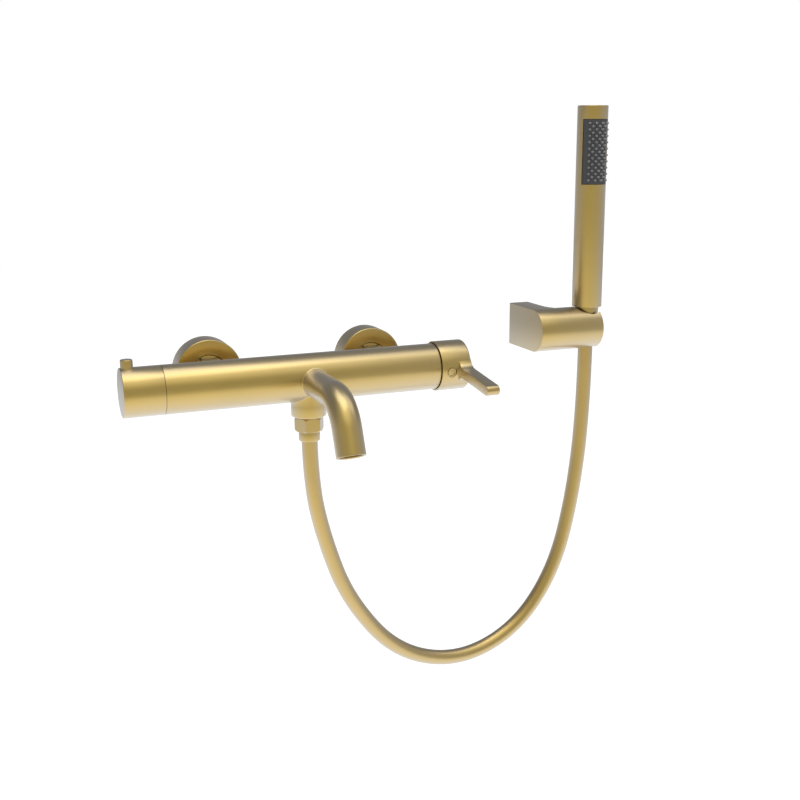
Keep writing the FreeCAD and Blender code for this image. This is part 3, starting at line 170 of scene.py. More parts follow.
class Finish:
    def __init__(self, owner):
        owner.use_nodes = True
        self.tree = owner.node_tree
        self.tree.nodes.clear()

    def node(self, kind, settings=None, inputs=None, output=0):
        made = self.tree.nodes.new(kind)
        for name, setting in (settings or {}).items():
            setattr(made, name, setting)
        for key, value in (inputs or {}).items():
            if isinstance(value, Value):
                self.tree.links.new(value.socket, made.inputs[key])
            else:
                made.inputs[key].default_value = value
        return Value(self, made.outputs[output]) if made.outputs else made

    def noise(self, scale, detail=2.0, stretch=(1, 1, 1)):
        place = self.node("ShaderNodeTexCoord", output="Object")
        place = self.node("ShaderNodeMapping", {}, {"Vector": place, "Scale": stretch})
        return self.node("ShaderNodeTexNoise", {}, {"Vector": place, "Scale": scale, "Detail": detail})

    def between(self, factor, first, second):
        return self.node("ShaderNodeMix", {"data_type": "RGBA"},
                         {0: factor, 6: (*first, 1), 7: (*second, 1)}, output=2)

    def bump(self, height, strength, depth):
        return self.node("ShaderNodeBump", {}, {"Height": height, "Strength": strength, "Distance": depth})

    def close(self, shader_inputs):
        surface = self.node("ShaderNodeBsdfPrincipled", {}, shader_inputs)
        self.node("ShaderNodeOutputMaterial", {}, {"Surface": surface})


# %% [markdown]
# ## Satin gold
# The finish looks like a thin gold coating on metal that was made silky: highlights spread into
# soft bands, and a slanting look turns pale. A metal with a middling roughness gives the bands. The
# pale sheen is a second, silvery metal of the same roughness, mixed in by Layer Weight. It could be
# a clear coat too, but a coat stays too weak until the very edge. Three noises keep it from looking
# like paint: a broad one shifts the tone a little, and a fine grain and faint streaks roughen the
# shine.

# %% Metals
PALE_METAL = (0.60, 0.59, 0.57)
SATIN_GOLD = (0.60, 0.425, 0.12)


def shade(colour, factor):
    return tuple(c * factor for c in colour)


def metal(name, colour, roughness, haze=0.6, grain=2600.0, cloud=28.0, depth=0.00002):
    material = bpy.data.materials.new(name)
    finish = Finish(material)
    broad = finish.noise(cloud)
    fine = finish.noise(grain, 3.0)
    streak = finish.noise(grain * 0.4, 2.0, (0.12, 1, 1))
    tone = finish.between(broad, shade(colour, 0.94), shade(colour, 1.06))
    gloss = {
        "Metallic": 1.0, "Roughness": roughness - 0.05 + broad * 0.04 + fine * 0.04 + streak * 0.02,
        "Normal": finish.bump(fine + streak, 0.25, depth),
    }
    coloured = finish.node("ShaderNodeBsdfPrincipled", {}, {"Base Color": tone, **gloss})
    pale = finish.node("ShaderNodeBsdfPrincipled", {}, {"Base Color": (*PALE_METAL, 1), **gloss})
    slant = finish.node("ShaderNodeLayerWeight", {}, {"Blend": 0.5}, output="Facing")
    both = finish.node("ShaderNodeMixShader", {}, {0: slant * haze, 1: coloured, 2: pale})
    finish.node("ShaderNodeOutputMaterial", {}, {"Surface": both})
    return material


finishes = {
    "satin_gold": metal("satin_gold", SATIN_GOLD, 0.31, haze=1.0),
    "gold_hose": metal("gold_hose", (0.61, 0.43, 0.13), 0.36, haze=1.0, grain=1400.0),
    "aerator_gold": metal("aerator_gold", (0.30, 0.19, 0.06), 0.45),
    "plain_brass": metal("plain_brass", (0.50, 0.34, 0.12), 0.32, grain=1500.0),
    "stainless": metal("stainless", (0.42, 0.42, 0.43), 0.3),
}
print("metals", sorted(finishes))

# %% [markdown]
# ## Plastics, rubber and ceramic
# The spray face looks like dark moulded plastic and its nozzles like a paler silicone. Neither is
# metal, so only colour, roughness and a fine moulded texture tell them apart. The hidden washers
# and discs get the same treatment, because they show when a piece is taken apart.

# %% Other finishes


def moulded(name, colour, roughness, texture=900.0, depth=0.00003, spread=0.12):
    material = bpy.data.materials.new(name)
    finish = Finish(material)
    broad = finish.noise(60.0)
    fine = finish.noise(texture, 3.0)
    tone = finish.between(broad, shade(colour, 1 - spread), shade(colour, 1 + spread))
    finish.close({
        "Base Color": tone, "Roughness": roughness - 0.06 + fine * 0.12,
        "Normal": finish.bump(fine, 0.35, depth),
    })
    return material


finishes.update({
    "spray_grey": moulded("spray_grey", (0.088, 0.089, 0.093), 0.5, 1800.0),
    "nozzle_rubber": moulded("nozzle_rubber", (0.40, 0.40, 0.41), 0.5),
    "black_rubber": moulded("black_rubber", (0.015, 0.015, 0.016), 0.6),
    "white_plastic": moulded("white_plastic", (0.72, 0.72, 0.70), 0.4, spread=0.03),
    "valve_ceramic": moulded("valve_ceramic", (0.80, 0.78, 0.73), 0.15, depth=0.000004, spread=0.02),
})
for node, piece in NODES.items():
    piece.data.materials.clear()
    piece.data.materials.append(finishes[SLOT_OF[node]])
print("finishes", len(finishes))

# %% [markdown]
# ## Making pieces
# Most of a mixer like this comes off a lathe, so most pieces are a section turned about an axis. Each
# section is a short list of corners in millimetres, given as distance along the axis, radius, and
# how much the corner is rounded. The CAD pieces have nearly the same sections, with plainer
# corners. Small rounds matter, because they catch the light as a thin bright line.

# %% Meshes and rounded sections
ROUND_STEPS = 4
SHARP_ANGLE = math.radians(35)
X, Y, Z = Vector((1, 0, 0)), Vector((0, 1, 0)), Vector((0, 0, 1))


def add_piece(name, mesh, body, replaced, finish):
    # A finished piece: its finish, the body that it rides on, and the CAD nodes that it stands for
    piece = bpy.data.objects.new(name, mesh)
    bpy.context.scene.collection.objects.link(piece)
    mesh.materials.clear()
    mesh.materials.append(finishes[finish])
    if body:
        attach(piece, body)
    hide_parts(*replaced)
    print(name, "faces", len(mesh.polygons))
    return piece


def loose(name, mesh):
    made = bpy.data.objects.new(name, mesh)
    bpy.context.scene.collection.objects.link(made)
    return made


def smooth(mesh):
    mesh.polygons.foreach_set("use_smooth", [True] * len(mesh.polygons))
    mesh.set_sharp_from_angle(angle=SHARP_ANGLE)
    mesh.update()
    return mesh


def mesh_of(name, corners, faces):
    mesh = bpy.data.meshes.new(name)
    mesh.from_pydata([tuple(c) for c in corners], [], faces)
    build = bmesh.new()
    build.from_mesh(mesh)
    bmesh.ops.remove_doubles(build, verts=build.verts, dist=1e-7)
    bmesh.ops.recalc_face_normals(build, faces=build.faces)
    build.to_mesh(mesh)
    build.free()
    return smooth(mesh)


def rounded(points):
    # Replaces each corner of a closed outline that has a third value by an arc of that radius
    loop = []
    count = len(points)
    for i, point in enumerate(points):
        here = Vector(point[:2])
        radius = point[2] if len(point) > 2 else 0
        if not radius:
            loop.append(tuple(here))
            continue
        back = (Vector(points[i - 1][:2]) - here).normalized()
        ahead = (Vector(points[(i + 1) % count][:2]) - here).normalized()
        half = back.angle(ahead) / 2
        middle = here + (back + ahead).normalized() * (radius / math.sin(half))
        start = here + back * (radius / math.tan(half)) - middle
        end = here + ahead * (radius / math.tan(half)) - middle
        turn = start.angle_signed(end)
        for step in range(ROUND_STEPS + 1):
            loop.append(tuple(middle + Matrix.Rotation(-turn * step / ROUND_STEPS, 2) @ start))
    return loop


def across(axis):
    # Two directions square to an axis
    side = X if abs(axis.x) < 0.9 else Y
    first = axis.cross(side).normalized()
    return first, axis.cross(first).normalized()


def turned(name, section, base, axis, steps=128):
    # Turns a closed section, in millimetres, about an axis through base
    first, second = across(axis)
    base = Vector(base)
    corners, faces, rings = [], [], []
    for station, radius in rounded(section):
        start = len(corners)
        if radius < 1e-6:
            corners.append((base + axis * station) * MM)
            rings.append([start] * steps)
            continue
        for step in range(steps):
            angle = 2 * math.pi * step / steps
            way = first * math.cos(angle) + second * math.sin(angle)
            corners.append((base + axis * station + way * radius) * MM)
        rings.append(list(range(start, start + steps)))
    for here, there in zip(rings, rings[1:] + rings[:1]):
        for i in range(steps):
            j = (i + 1) % steps
            face = list(dict.fromkeys((here[i], here[j], there[j], there[i])))
            if len(face) > 2:
                faces.append(face)
    return mesh_of(name, corners, faces)


# %% [markdown]
# ## Cutting and joining
# Holes and pockets are cut with the Boolean modifier. It could stay live, but a plain mesh is safer
# for the joints and the export, so the result is read back with new_from_object.

# %% Boolean work


def merged(mesh, distance):
    # Joins the corners that lie within a distance, in metres, and shades the mesh smooth
    build = bmesh.new()
    build.from_mesh(mesh)
    bmesh.ops.remove_doubles(build, verts=build.verts, dist=distance)
    build.to_mesh(mesh)
    build.free()
    return smooth(mesh)


def combine(mesh, tools, operation="DIFFERENCE"):
    base = loose("base", mesh)
    for tool in tools:
        part = loose("tool", tool)
        work = base.modifiers.new("cut", "BOOLEAN")
        work.operation = operation
        work.object = part
        work.solver = "EXACT"
    depsgraph = bpy.context.evaluated_depsgraph_get()
    made = bpy.data.meshes.new_from_object(base.evaluated_get(depsgraph))
    made.name = mesh.name
    for work in base.modifiers:
        bpy.data.objects.remove(work.object)
    bpy.data.objects.remove(base)
    return merged(made, 2e-6)


def pin(base, axis, radius, length, steps=64):
    return turned("pin", [(0, 0), (0, radius), (length, radius), (length, 0)], base, axis, steps)


def box_mesh(low, high):
    corners = [(x * MM, y * MM, z * MM) for x in (low[0], high[0]) for y in (low[1], high[1])
               for z in (low[2], high[2])]
    faces = [(0, 1, 3, 2), (4, 6, 7, 5), (0, 4, 5, 1), (2, 3, 7, 6), (0, 2, 6, 4), (1, 5, 7, 3)]
    return mesh_of("box", corners, faces)


def round_edges(mesh, chosen, radius, steps):
    # Rounds the edges for which the function chosen says yes
    build = bmesh.new()
    build.from_mesh(mesh)
    edges = [e for e in build.edges if chosen(e)]
    bmesh.ops.bevel(build, geom=edges, offset=radius * MM, segments=steps, affect="EDGES", profile=0.5)
    bmesh.ops.recalc_face_normals(build, faces=build.faces)
    build.to_mesh(mesh)
    build.free()
    return smooth(mesh)


def prism(name, outline, low, high, place, edge, edge_steps=3):
    # Pushes an outline from low to high and rounds the edges round both ends
    count = len(outline)
    corners = [place(p, low) * MM for p in outline] + [place(p, high) * MM for p in outline]
    faces = [list(range(count)), list(range(2 * count - 1, count - 1, -1))]
    for i in range(count):
        j = (i + 1) % count
        faces.append((i, i + count, j + count, j))

    def on_rim(e):
        return any(len(f.verts) == count for f in e.link_faces)

    return round_edges(mesh_of(name, corners, faces), on_rim, edge, edge_steps)


# %% [markdown]
# ## The bar and its diverter knob
# The bar is one turned tube with walls inside that keep hot, cold and mixed water apart. The knob
# continues it at the left, with only a hair line between them, and carries a small pin.

# %% Bar, knob and pin
BAR_Y = -73.0
BAR_RADIUS = 20.5
BAR_BORE = 18.0
BAR_LEFT = -124.7
BAR_RIGHT = 114.6
PARTITIONS = (-96.0, -60.0, 60.0, 86.0)
PARTITION = 4.0
SPOUT_Z = -1.8
OUTLET_X = -1.5
HALF_SPACING = 75.0
SPOUT_HOLE = 9.9
OUTLET_HOLE = 8.5
INLET_HOLE = 8.1
HOLE_DEPTH = 24

bar_section = [(BAR_LEFT, BAR_RADIUS, 0.15), (BAR_LEFT, BAR_BORE)]
for x in PARTITIONS:
    bar_section += [(x, BAR_BORE), (x, 0), (x + PARTITION, 0), (x + PARTITION, BAR_BORE)]
bar_section += [(BAR_RIGHT, BAR_BORE), (BAR_RIGHT, BAR_RADIUS, 0.2)]
bar = turned("bar", bar_section, (0, BAR_Y, 0), X, 192)
bar_holes = [
    pin((0, BAR_Y, SPOUT_Z), -Y, SPOUT_HOLE, HOLE_DEPTH),
    pin((OUTLET_X, BAR_Y, 0), -Z, OUTLET_HOLE, HOLE_DEPTH),
]
bar_holes += [pin((side * HALF_SPACING, BAR_Y, 0), Y, INLET_HOLE, HOLE_DEPTH) for side in (-1, 1)]
add_piece("bar", combine(bar, bar_holes), "root", ["valve_body"], "satin_gold")

KNOB_RIGHT = -124.95
KNOB_LENGTH = 33.05
KNOB_PIN_AT = (-152, BAR_Y, 12)
SCREW_HOLE = 2.1
knob_section = [
    (0, 18.2), (0, BAR_RADIUS, 0.15), (KNOB_LENGTH, BAR_RADIUS, 0.6), (KNOB_LENGTH, 0), (16.15, 0),
    (16.15, 5.0), (3, 5.0), (3, 8.0), (21, 8.0), (21, 18.2),
]
knob = turned("knob", knob_section, (KNOB_RIGHT, BAR_Y, 0), -X, 192)
knob = combine(knob, [pin(KNOB_PIN_AT, Z, 5.1, 20), pin((-138, BAR_Y, 0), -Z, SCREW_HOLE, 22)])
add_piece("knob", knob, "diverter", ["diverter_knob"], "satin_gold")
pin_section = [(0, 0), (0, 5.0), (15.3, 5.0, 0.9), (15.3, 0)]
add_piece("knob_pin", turned("knob_pin", pin_section, KNOB_PIN_AT, Z, 64), "diverter",
          ["diverter_pin"], "satin_gold")

# %% [markdown]
# ## The lever cup
# The handle is a cup that covers the cartridge, with a flat lever growing out of its front. The
# lever is a flat outline pushed along the bar's direction. A fillet leads it into the cup, and its
# nose is round. The cup and lever are joined by a Boolean union, and the whole is turned a little
# about the bar, because the lever hangs just below level at rest.

# %% Cup, lever and plug
CUP_RADIUS = 22.2
CUP_RIM_X = 115.2
CUP_END_X = 143.0
CUP_BORE = 20.9
CUP_BOSS = 8.0
LEVER_HALF = 4.3
LEVER_REACH = 79.2
LEVER_WIDTH = 11.6
LEVER_END_X = CUP_END_X - 0.1
LEVER_DROP = math.radians(6.6)
FILLET = 11.0
PLUG_X = 124.3
HANDLE_DROP = Matrix.Translation((0, BAR_Y * MM, 0)) @ Matrix.Rotation(LEVER_DROP, 4, "X") \
    @ Matrix.Translation((0, -BAR_Y * MM, 0))


def arc(centre, radius, start, end, steps):
    # Points on a circle from one angle to another, in degrees
    angles = [math.radians(start + (end - start) * i / steps) for i in range(steps + 1)]
    return [(centre[0] + radius * math.cos(a), centre[1] + radius * math.sin(a)) for a in angles]


fillet_out = math.sqrt((CUP_RADIUS - 0.05 + FILLET) ** 2 - (LEVER_HALF + FILLET) ** 2)
fillet_turn = math.degrees(math.atan2(LEVER_HALF + FILLET, fillet_out))
upper_fillet = arc((fillet_out, LEVER_HALF + FILLET), FILLET, 180 + fillet_turn, 270, 12)
nose = arc((LEVER_REACH - LEVER_HALF, 0), LEVER_HALF, 90, -90, 24)
lower_fillet = [(p[0], -p[1]) for p in reversed(upper_fillet)]
root = [(15.0, -upper_fillet[0][1]), (15.0, upper_fillet[0][1])]
lever = prism("lever", upper_fillet + nose + lower_fillet + root, LEVER_END_X - LEVER_WIDTH,
              LEVER_END_X, lambda p, x: Vector((x, BAR_Y - p[0], p[1])), 0.5)
cup_section = [
    (0, CUP_BORE), (0, CUP_RADIUS, 0.3), (27.8, CUP_RADIUS, 2.0), (27.8, 0), (4.8, 0),
    (4.8, CUP_BOSS), (23.8, CUP_BOSS), (23.8, CUP_BORE),
]
cup = turned("cup", cup_section, (CUP_RIM_X, BAR_Y, 0), X, 192)
hollow_section = [(0, CUP_BOSS), (0, CUP_BORE), (18.9, CUP_BORE), (18.9, CUP_BOSS)]
hollow = turned("hollow", hollow_section, (CUP_RIM_X + 4.8, BAR_Y, 0), X, 192)
lever = combine(lever, [hollow])
handle = combine(cup, [lever], "UNION")
plug_at = (PLUG_X, BAR_Y - CUP_RADIUS - 1, 0)
handle = combine(handle, [pin(plug_at, Y, 4.55, 2.4), pin(plug_at, Y, 2.7, 20),
                          pin((120, BAR_Y, 0), X, 4.1, 15.6)])
handle.transform(HANDLE_DROP)
add_piece("lever_handle", handle, "lever", ["mixer_handle"], "satin_gold")
plug_section = [(0.7, 0), (0.7, 3.0), (0, 3.0, 0.2), (0, 4.0, 0.3), (1.1, 4.0), (1.1, 0)]
plug = turned("plug", plug_section, (PLUG_X, BAR_Y - CUP_RADIUS + 0.1, 0), Y, 64)
plug.transform(HANDLE_DROP)
add_piece("plug", plug, "lever", ["handle_plug"], "satin_gold")

# %% [markdown]
# ## Wall flanges and nuts
# Each flange is a shallow turned dish that hides the hole in the wall. Its front edge has a small
# round that shines. The union nut shows in the flange's hole, and a collar on it fills that hole.

# %% Flanges, nuts


def hex_nut(name, base, axis, flats, length, bore, lip, lip_bore, chamfer=1.0):
    # A hexagon with its corners turned off, a lip at the start and a thread beyond it
    corner = flats / math.sqrt(3)
    outline = [(corner * math.cos(math.radians(60 * i)), corner * math.sin(math.radians(60 * i)))
               for i in range(6)]
    ways = (X, Y if abs(axis.z) > 0.5 else Z)
    body = prism(name, outline, 0, length,
                 lambda p, s: Vector(base) + axis * s + ways[0] * p[0] + ways[1] * p[1], 0.12, 2)
    flat = flats / 2
    shape = turned("blank", [(0, 0), (0, flat), (chamfer, corner + 0.2), (length - chamfer, corner + 0.2),
                             (length, flat), (length, 0)], base, axis, 96)
    body = combine(body, [shape], "INTERSECT")
    inside = turned("inside", [(-1, 0), (-1, lip_bore), (lip, lip_bore), (lip, bore), (length + 1, bore),
                               (length + 1, 0)], base, axis, 64)
    return combine(body, [inside])


FLANGE_RADIUS = 28.9
FLANGE_BORE = 27.4
FLANGE_HOLE = 15.8
FLANGE_DEPTH = 21.4
flange_section = [
    (0, FLANGE_HOLE, 0.3), (0, FLANGE_RADIUS, 1.1), (FLANGE_DEPTH, FLANGE_RADIUS),
    (FLANGE_DEPTH, FLANGE_BORE), (16.4, FLANGE_BORE), (16.4, 17.1), (13.4, 17.1),
    (13.4, FLANGE_BORE), (1.5, FLANGE_BORE), (1.5, FLANGE_HOLE),
]
for side, name in ((-1, "hot"), (1, "cold")):
    x = side * HALF_SPACING
    add_piece(name + "_flange", turned(name + "_flange", flange_section, (x, -FLANGE_DEPTH, 0), Y, 160),
              "root", [name + "_wall_flange"], "satin_gold")
    nut = hex_nut(name + "_nut", (x, -34.0, 0), Y, flats=26.0, length=19.0, bore=9.9, lip=1.9,
                  lip_bore=8.1)
    collar = turned("collar", [(0, 12.0), (0, 15.1, 0.4), (4, 15.1), (4, 12.0)], (x, -20.3, 0), Y)
    add_piece(name + "_nut", combine(nut, [collar], "UNION"), "root", [name + "_union_nut"], "satin_gold")

# %% [markdown]
# ## Pipes that meet the bar
# The spout and the shower outlet both end on the bar's round side, so their first ring is a saddle.
# A ring is placed at each station along a path. Near the bar each of its corners is moved onto the
# bar's surface, and a small fillet softens the joint, as polishing would.

# %% Rings along a path
SPOUT_BEND_AT = 139.0
SPOUT_BEND_RADIUS = 35.3
SPOUT_ANGLE = math.radians(66)
SPOUT_TAIL = 22.0
SPOUT_LENGTH = SPOUT_BEND_AT + BAR_Y + SPOUT_BEND_RADIUS * SPOUT_ANGLE + SPOUT_TAIL
SPOUT_RADIUS = 12.0
SPOUT_BORE = 10.2
OUTLET_RADIUS = 15.2


def tube_of_rings(name, rings, steps):
    # rings is a closed list of functions: each gives a corner for an angle
    corners = []
    for ring in rings:
        for step in range(steps):
            corners.append(ring(2 * math.pi * step / steps) * MM)
    faces = []
    count = len(rings)
    for r in range(count):
        s = (r + 1) % count
        for i in range(steps):
            j = (i + 1) % steps
            faces.append((r * steps + i, r * steps + j, s * steps + j, s * steps + i))
    return mesh_of(name, corners, faces)


def plain_ring(centre, first, second, radius):
    return lambda a: centre + first * (radius * math.cos(a)) + second * (radius * math.sin(a))


def spout_path(distance):
    # Where the spout's middle is, and which way it runs, at a distance from the bar's axis
    straight = SPOUT_BEND_AT + BAR_Y
    if distance <= straight:
        return Vector((0, BAR_Y - distance, SPOUT_Z)), -Y
    turn = min((distance - straight) / SPOUT_BEND_RADIUS, SPOUT_ANGLE)
    along = Vector((0, -math.cos(turn), -math.sin(turn)))
    middle = Vector((0, -SPOUT_BEND_AT - SPOUT_BEND_RADIUS * math.sin(turn),
                     SPOUT_Z - SPOUT_BEND_RADIUS * (1 - math.cos(turn))))
    rest = distance - straight - SPOUT_BEND_RADIUS * SPOUT_ANGLE
    return middle + along * max(rest, 0), along


def spout_ring(distance, radius):
    middle, along = spout_path(distance)
    return plain_ring(middle, X, along.cross(X), radius)


def spout_saddle(lift, radius):
    # A ring that lies on the bar's side, lifted off it
    def corner(a):
        x, z = radius * math.cos(a), SPOUT_Z + radius * math.sin(a)
        return Vector((x, BAR_Y - math.sqrt(BAR_RADIUS ** 2 - z ** 2) - lift, z))
    return corner


def outlet_saddle(lift, radius):
    def corner(a):
        x, y = radius * math.cos(a), radius * math.sin(a)
        return Vector((OUTLET_X + x, BAR_Y + y, -math.sqrt(BAR_RADIUS ** 2 - y ** 2) - lift))
    return corner


def weld(saddle, radius, size, gap=0.05, steps=5):
    # The small fillet between a pipe and the bar, from the bar outwards
    rings = []
    for i in range(steps + 1):
        turn = math.pi / 2 * i / steps
        rings.append(saddle(gap + size * (1 - math.cos(turn)), radius + size * (1 - math.sin(turn))))
    return rings


rings = weld(spout_saddle, SPOUT_RADIUS, 0.8, gap=0.02)
rings += [spout_ring(26.0 + i * (SPOUT_LENGTH - 27.0) / 60, SPOUT_RADIUS) for i in range(61)]
rings += [spout_ring(SPOUT_LENGTH - 0.4, SPOUT_RADIUS), spout_ring(SPOUT_LENGTH - 0.1, SPOUT_RADIUS - 0.12),
          spout_ring(SPOUT_LENGTH, SPOUT_RADIUS - 0.4), spout_ring(SPOUT_LENGTH, SPOUT_BORE + 0.8),
          spout_ring(SPOUT_LENGTH - 0.8, SPOUT_BORE)]
rings += [spout_ring(SPOUT_LENGTH - 1 - i * (SPOUT_LENGTH - 26) / 40, SPOUT_BORE) for i in range(41)]
rings += [spout_ring(24.5, 8.2), spout_ring(15.5, 8.2), spout_ring(15.5, 9.8), spout_saddle(0.05, 9.8)]
add_piece("spout", tube_of_rings("spout", rings, 96), "root", ["spout_pipe"], "satin_gold")


def outlet_ring(z, radius):
    return plain_ring(Vector((OUTLET_X, BAR_Y, z)), X, Y, radius)


rings = weld(outlet_saddle, OUTLET_RADIUS, 0.6, steps=3)
rings += [outlet_ring(z, r) for z, r in (
    (-24, OUTLET_RADIUS), (-32.5, OUTLET_RADIUS), (-33.1, 15.0), (-33.6, 14.6), (-33.9, 14.1),
    (-34.0, 13.6), (-34.0, 9.8), (-42.25, 9.8), (-42.25, 6.5), (-9.0, 6.5), (-9.0, 1.0),
    (-7.0, 1.0), (-7.0, 8.4))]
rings += [outlet_saddle(0.05, 8.4)]
add_piece("outlet_boss", tube_of_rings("outlet_boss", rings, 96), "root", ["shower_outlet"], "satin_gold")

# %% [markdown]
# ## The hose and its ends
# The hose is a tube of rings that follow the centreline. Each ring is carried on from the one
# before without twisting. The nut and the ferrule hold it to the outlet, and the cone nut holds it
# to the handset.

# %% Hose, nut, ferrule and cone nut


def tube_along(name, line, radius, steps):
    corners, faces = [], []
    first = across((line[1] - line[0]).normalized())[0]
    for i, here in enumerate(line):
        ahead = (line[min(i + 1, len(line) - 1)] - line[max(i - 1, 0)]).normalized()
        first = (first - ahead * first.dot(ahead)).normalized()
        second = ahead.cross(first)
        for step in range(steps):
            angle = 2 * math.pi * step / steps
            corners.append(here + first * (radius * math.cos(angle)) + second * (radius * math.sin(angle)))
    for i in range(len(line) - 1):
        for step in range(steps):
            j = (step + 1) % steps
            faces.append((i * steps + step, i * steps + j, (i + 1) * steps + j, (i + 1) * steps + step))
    last = (len(line) - 1) * steps
    faces += [list(range(steps)), list(range(last + steps - 1, last - 1, -1))]
    return mesh_of(name, corners, faces)


hose = add_piece("hose", tube_along("hose", hose_line, HOSE_DIAMETER / 2, 32), None,
                 ["shower_hose"], "gold_hose")
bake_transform(hose)

nut = hex_nut("outlet_nut", (OUTLET_X, BAR_Y, -47.05), Z, flats=22.6, length=12.35, bore=9.9, lip=1.8,
              lip_bore=5.4, chamfer=1.9)
add_piece("outlet_nut", nut, "root", ["hose_nut"], "satin_gold")
ferrule_section = [(0, 5.1), (0, 9.3, 0.3), (8.6, 9.3, 1.2), (8.6, 7.1), (1.4, 7.1), (1.4, 5.1)]
ferrule = turned("ferrule", ferrule_section, (OUTLET_X, BAR_Y, -47.35), -Z, 96)
add_piece("ferrule", ferrule, "root", ["hose_ferrule"], "satin_gold")
CONE_AT = (286.7, -48.5)
cone_section = [
    (0, 7.4), (0, 9.1, 0.5), (36, 11.4, 0.3), (36, 9.9), (22.8, 9.9), (22.8, 5.3), (21, 5.3), (21, 7.4),
]
cone = turned("cone", cone_section, (*CONE_AT, 5.0), Z, 96)
add_piece("cone", cone, "handset", ["cone_nut"], "satin_gold")

# %% [markdown]
# ## The handset
# The handset is a round tube with a flush cap. A curved window in its front holds the dark spray
# face, and rows of small silicone nozzles stand out of it. The window and the nozzle holes are cut
# with Booleans.

# %% Handset tube and cap
HANDSET_RADIUS = 14.15
HANDSET_BOTTOM, HANDSET_TOP = 40.4, 226.9
HANDSET_BORE = 12.65
CAP_THICK = 3.5
FACE_LOW, FACE_HIGH = 155.6, 214.7
FACE_HALF = 65.0
FACE_MIDDLE = -93.0


def curved_plate(name, inner, outer, low, high, half_angle, steps=48):
    # A piece of tube wall that faces the user
    corners, faces = [], []
    for step in range(steps + 1):
        angle = math.radians(FACE_MIDDLE - half_angle + 2 * half_angle * step / steps)
        way = Vector((math.cos(angle), math.sin(angle), 0))
        for z, radius in ((low, inner), (low, outer), (high, outer), (high, inner)):
            corners.append((Vector((*CONE_AT, z)) + way * radius) * MM)
    for step in range(steps):
        for k in range(4):
            m = (k + 1) % 4
            faces.append((4 * step + k, 4 * step + m, 4 * step + 4 + m, 4 * step + 4 + k))
    faces += [(0, 1, 2, 3), tuple(4 * steps + k for k in (3, 2, 1, 0))]
    return mesh_of(name, corners, faces)


tube_length = HANDSET_TOP - HANDSET_BOTTOM
shell_section = [
    (0, HANDSET_BORE), (0, HANDSET_RADIUS, 0.5), (tube_length, HANDSET_RADIUS, 0.6),
    (tube_length, HANDSET_BORE),
]
shell = turned("handset", shell_section, (*CONE_AT, HANDSET_BOTTOM), Z, 160)
shell = combine(shell, [curved_plate("window", 11.0, 15.2, FACE_LOW, FACE_HIGH, FACE_HALF)])
add_piece("handset", shell, "handset", ["handset_shell"], "satin_gold")
cap_section = [(0, 0), (0, 12.55), (CAP_THICK, 12.55, 0.3), (CAP_THICK, 0)]
cap = turned("cap", cap_section, (*CONE_AT, HANDSET_TOP - CAP_THICK), Z, 128)
add_piece("cap", cap, "handset", ["handset_cap"], "satin_gold")

# %% [markdown]
# ## Nozzles from Geometry Nodes
# The nozzles repeat, so a node tree makes them: a grid of points is rolled round the handset, and a
# small turned nozzle is placed on each. The tree has named inputs for its sizes. Rows of four
# alternate with rows of three, so the tree runs twice with different counts.

# %% Nozzle tree
NOZZLE_PITCH = 5.72
NOZZLE_STEP = 24.4
NOZZLE_FIRST = 159.5
NOZZLE_BACK = 11.05
NOZZLE_GROUPS = ((10, 4, NOZZLE_FIRST), (9, 3, NOZZLE_FIRST + NOZZLE_PITCH / 2))


